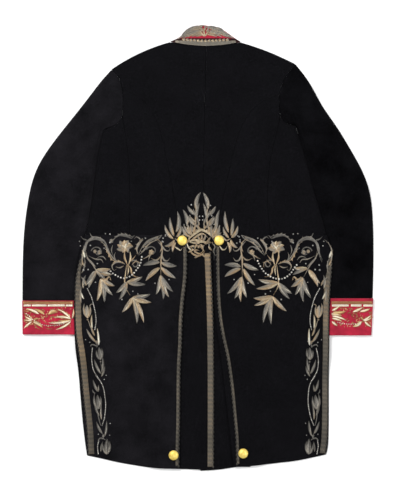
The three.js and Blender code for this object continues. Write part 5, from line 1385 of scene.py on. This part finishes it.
# ---------- The gilt buttons ----------
# Plain domed buttons, spun in gilding metal with a narrow rolled rim, sewn on by a shank through the
# cloth: two at the waist and two at the foot of the pleats.

WORN_GILT = 4.17  # mm between the worn places


def gilt_material():
    """Gilding metal, spun and fire gilt: a deep yellow gloss, worn paler in places and slightly dented."""
    made = bpy.data.materials.new("spun_fire_gilt_brass")
    made.use_nodes = True
    tree = made.node_tree
    shader = tree.nodes["Principled BSDF"]
    place = node(tree, "ShaderNodeTexCoord").outputs["Object"]
    worn = node(tree, "ShaderNodeTexNoise", {"Vector": place, "Scale": 1000 / WORN_GILT, "Detail": 4,
                                             "Roughness": 0.6})
    shade = node(tree, "ShaderNodeValToRGB", {"Fac": worn.outputs["Fac"]})
    shade.color_ramp.elements[0].position = 0.3
    shade.color_ramp.elements[0].color = linear("#e6c04e")
    shade.color_ramp.elements[1].position = 0.7
    shade.color_ramp.elements[1].color = linear("#fbe888")
    tree.links.new(shade.outputs["Color"], shader.inputs["Base Color"])
    dents = node(tree, "ShaderNodeBump", {"Strength": 0.15, "Distance": 0.0003,
                                          "Height": worn.outputs["Fac"]})
    tree.links.new(dents.outputs["Normal"], shader.inputs["Normal"])
    shader.inputs["Metallic"].default_value = 0.6
    shader.inputs["Roughness"].default_value = 0.5
    return made


gilt = gilt_material()
BUTTON = {"radius": 10.7, "rim": 0.9, "foot": 2.6, "high": 6.4, "around": 48}  # mm
BUTTON_NODES = ["waist_button_left", "waist_button_right", "hem_button_left", "hem_button_right"]
spring = BUTTON["foot"] + 0.5  # the height that the dome springs from
dome = [(BUTTON["radius"] * 0.9 * math.cos(a), spring + (BUTTON["high"] - spring) * math.sin(a))
        for a in np.linspace(0, math.pi / 2, 12)[:-1]]
rim = BUTTON["rim"]
rolled = [(BUTTON["radius"] + rim * (math.cos(a) - 1), BUTTON["foot"] - 0.6 + rim * math.sin(a))
          for a in np.linspace(-1.4, 2.3, 9)]
# Radius and height, from the foot of the shank outwards round the rim and up to the crown.
PROFILE = [(0.6, 0.2), (BUTTON["radius"] * 0.55, 0.4), *rolled, *dome]
for name in BUTTON_NODES:
    low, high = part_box(name)
    middle = (low + high) / 2
    points, faces = [], []
    around = BUTTON["around"]
    for radius, height in PROFILE:
        points += [(middle.x + radius / 1000 * math.cos(math.tau * k / around),
                    middle.y + radius / 1000 * math.sin(math.tau * k / around), low.z + height / 1000)
                   for k in range(around)]
    for j in range(len(PROFILE) - 1):
        for k in range(around):
            n = (k + 1) % around
            faces.append((j * around + k, j * around + n, (j + 1) * around + n, (j + 1) * around + k))
    faces.append(tuple(reversed(range(around))))
    points.append((middle.x, middle.y, low.z + BUTTON["high"] / 1000))
    last = (len(PROFILE) - 1) * around
    faces += [(last + k, last + (k + 1) % around, len(points) - 1) for k in range(around)]
    mesh = bpy.data.meshes.new(name + "_gilt")
    mesh.from_pydata(points, [], faces)
    button = object_of(name + "_gilt", mesh, gilt)
    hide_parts(name)
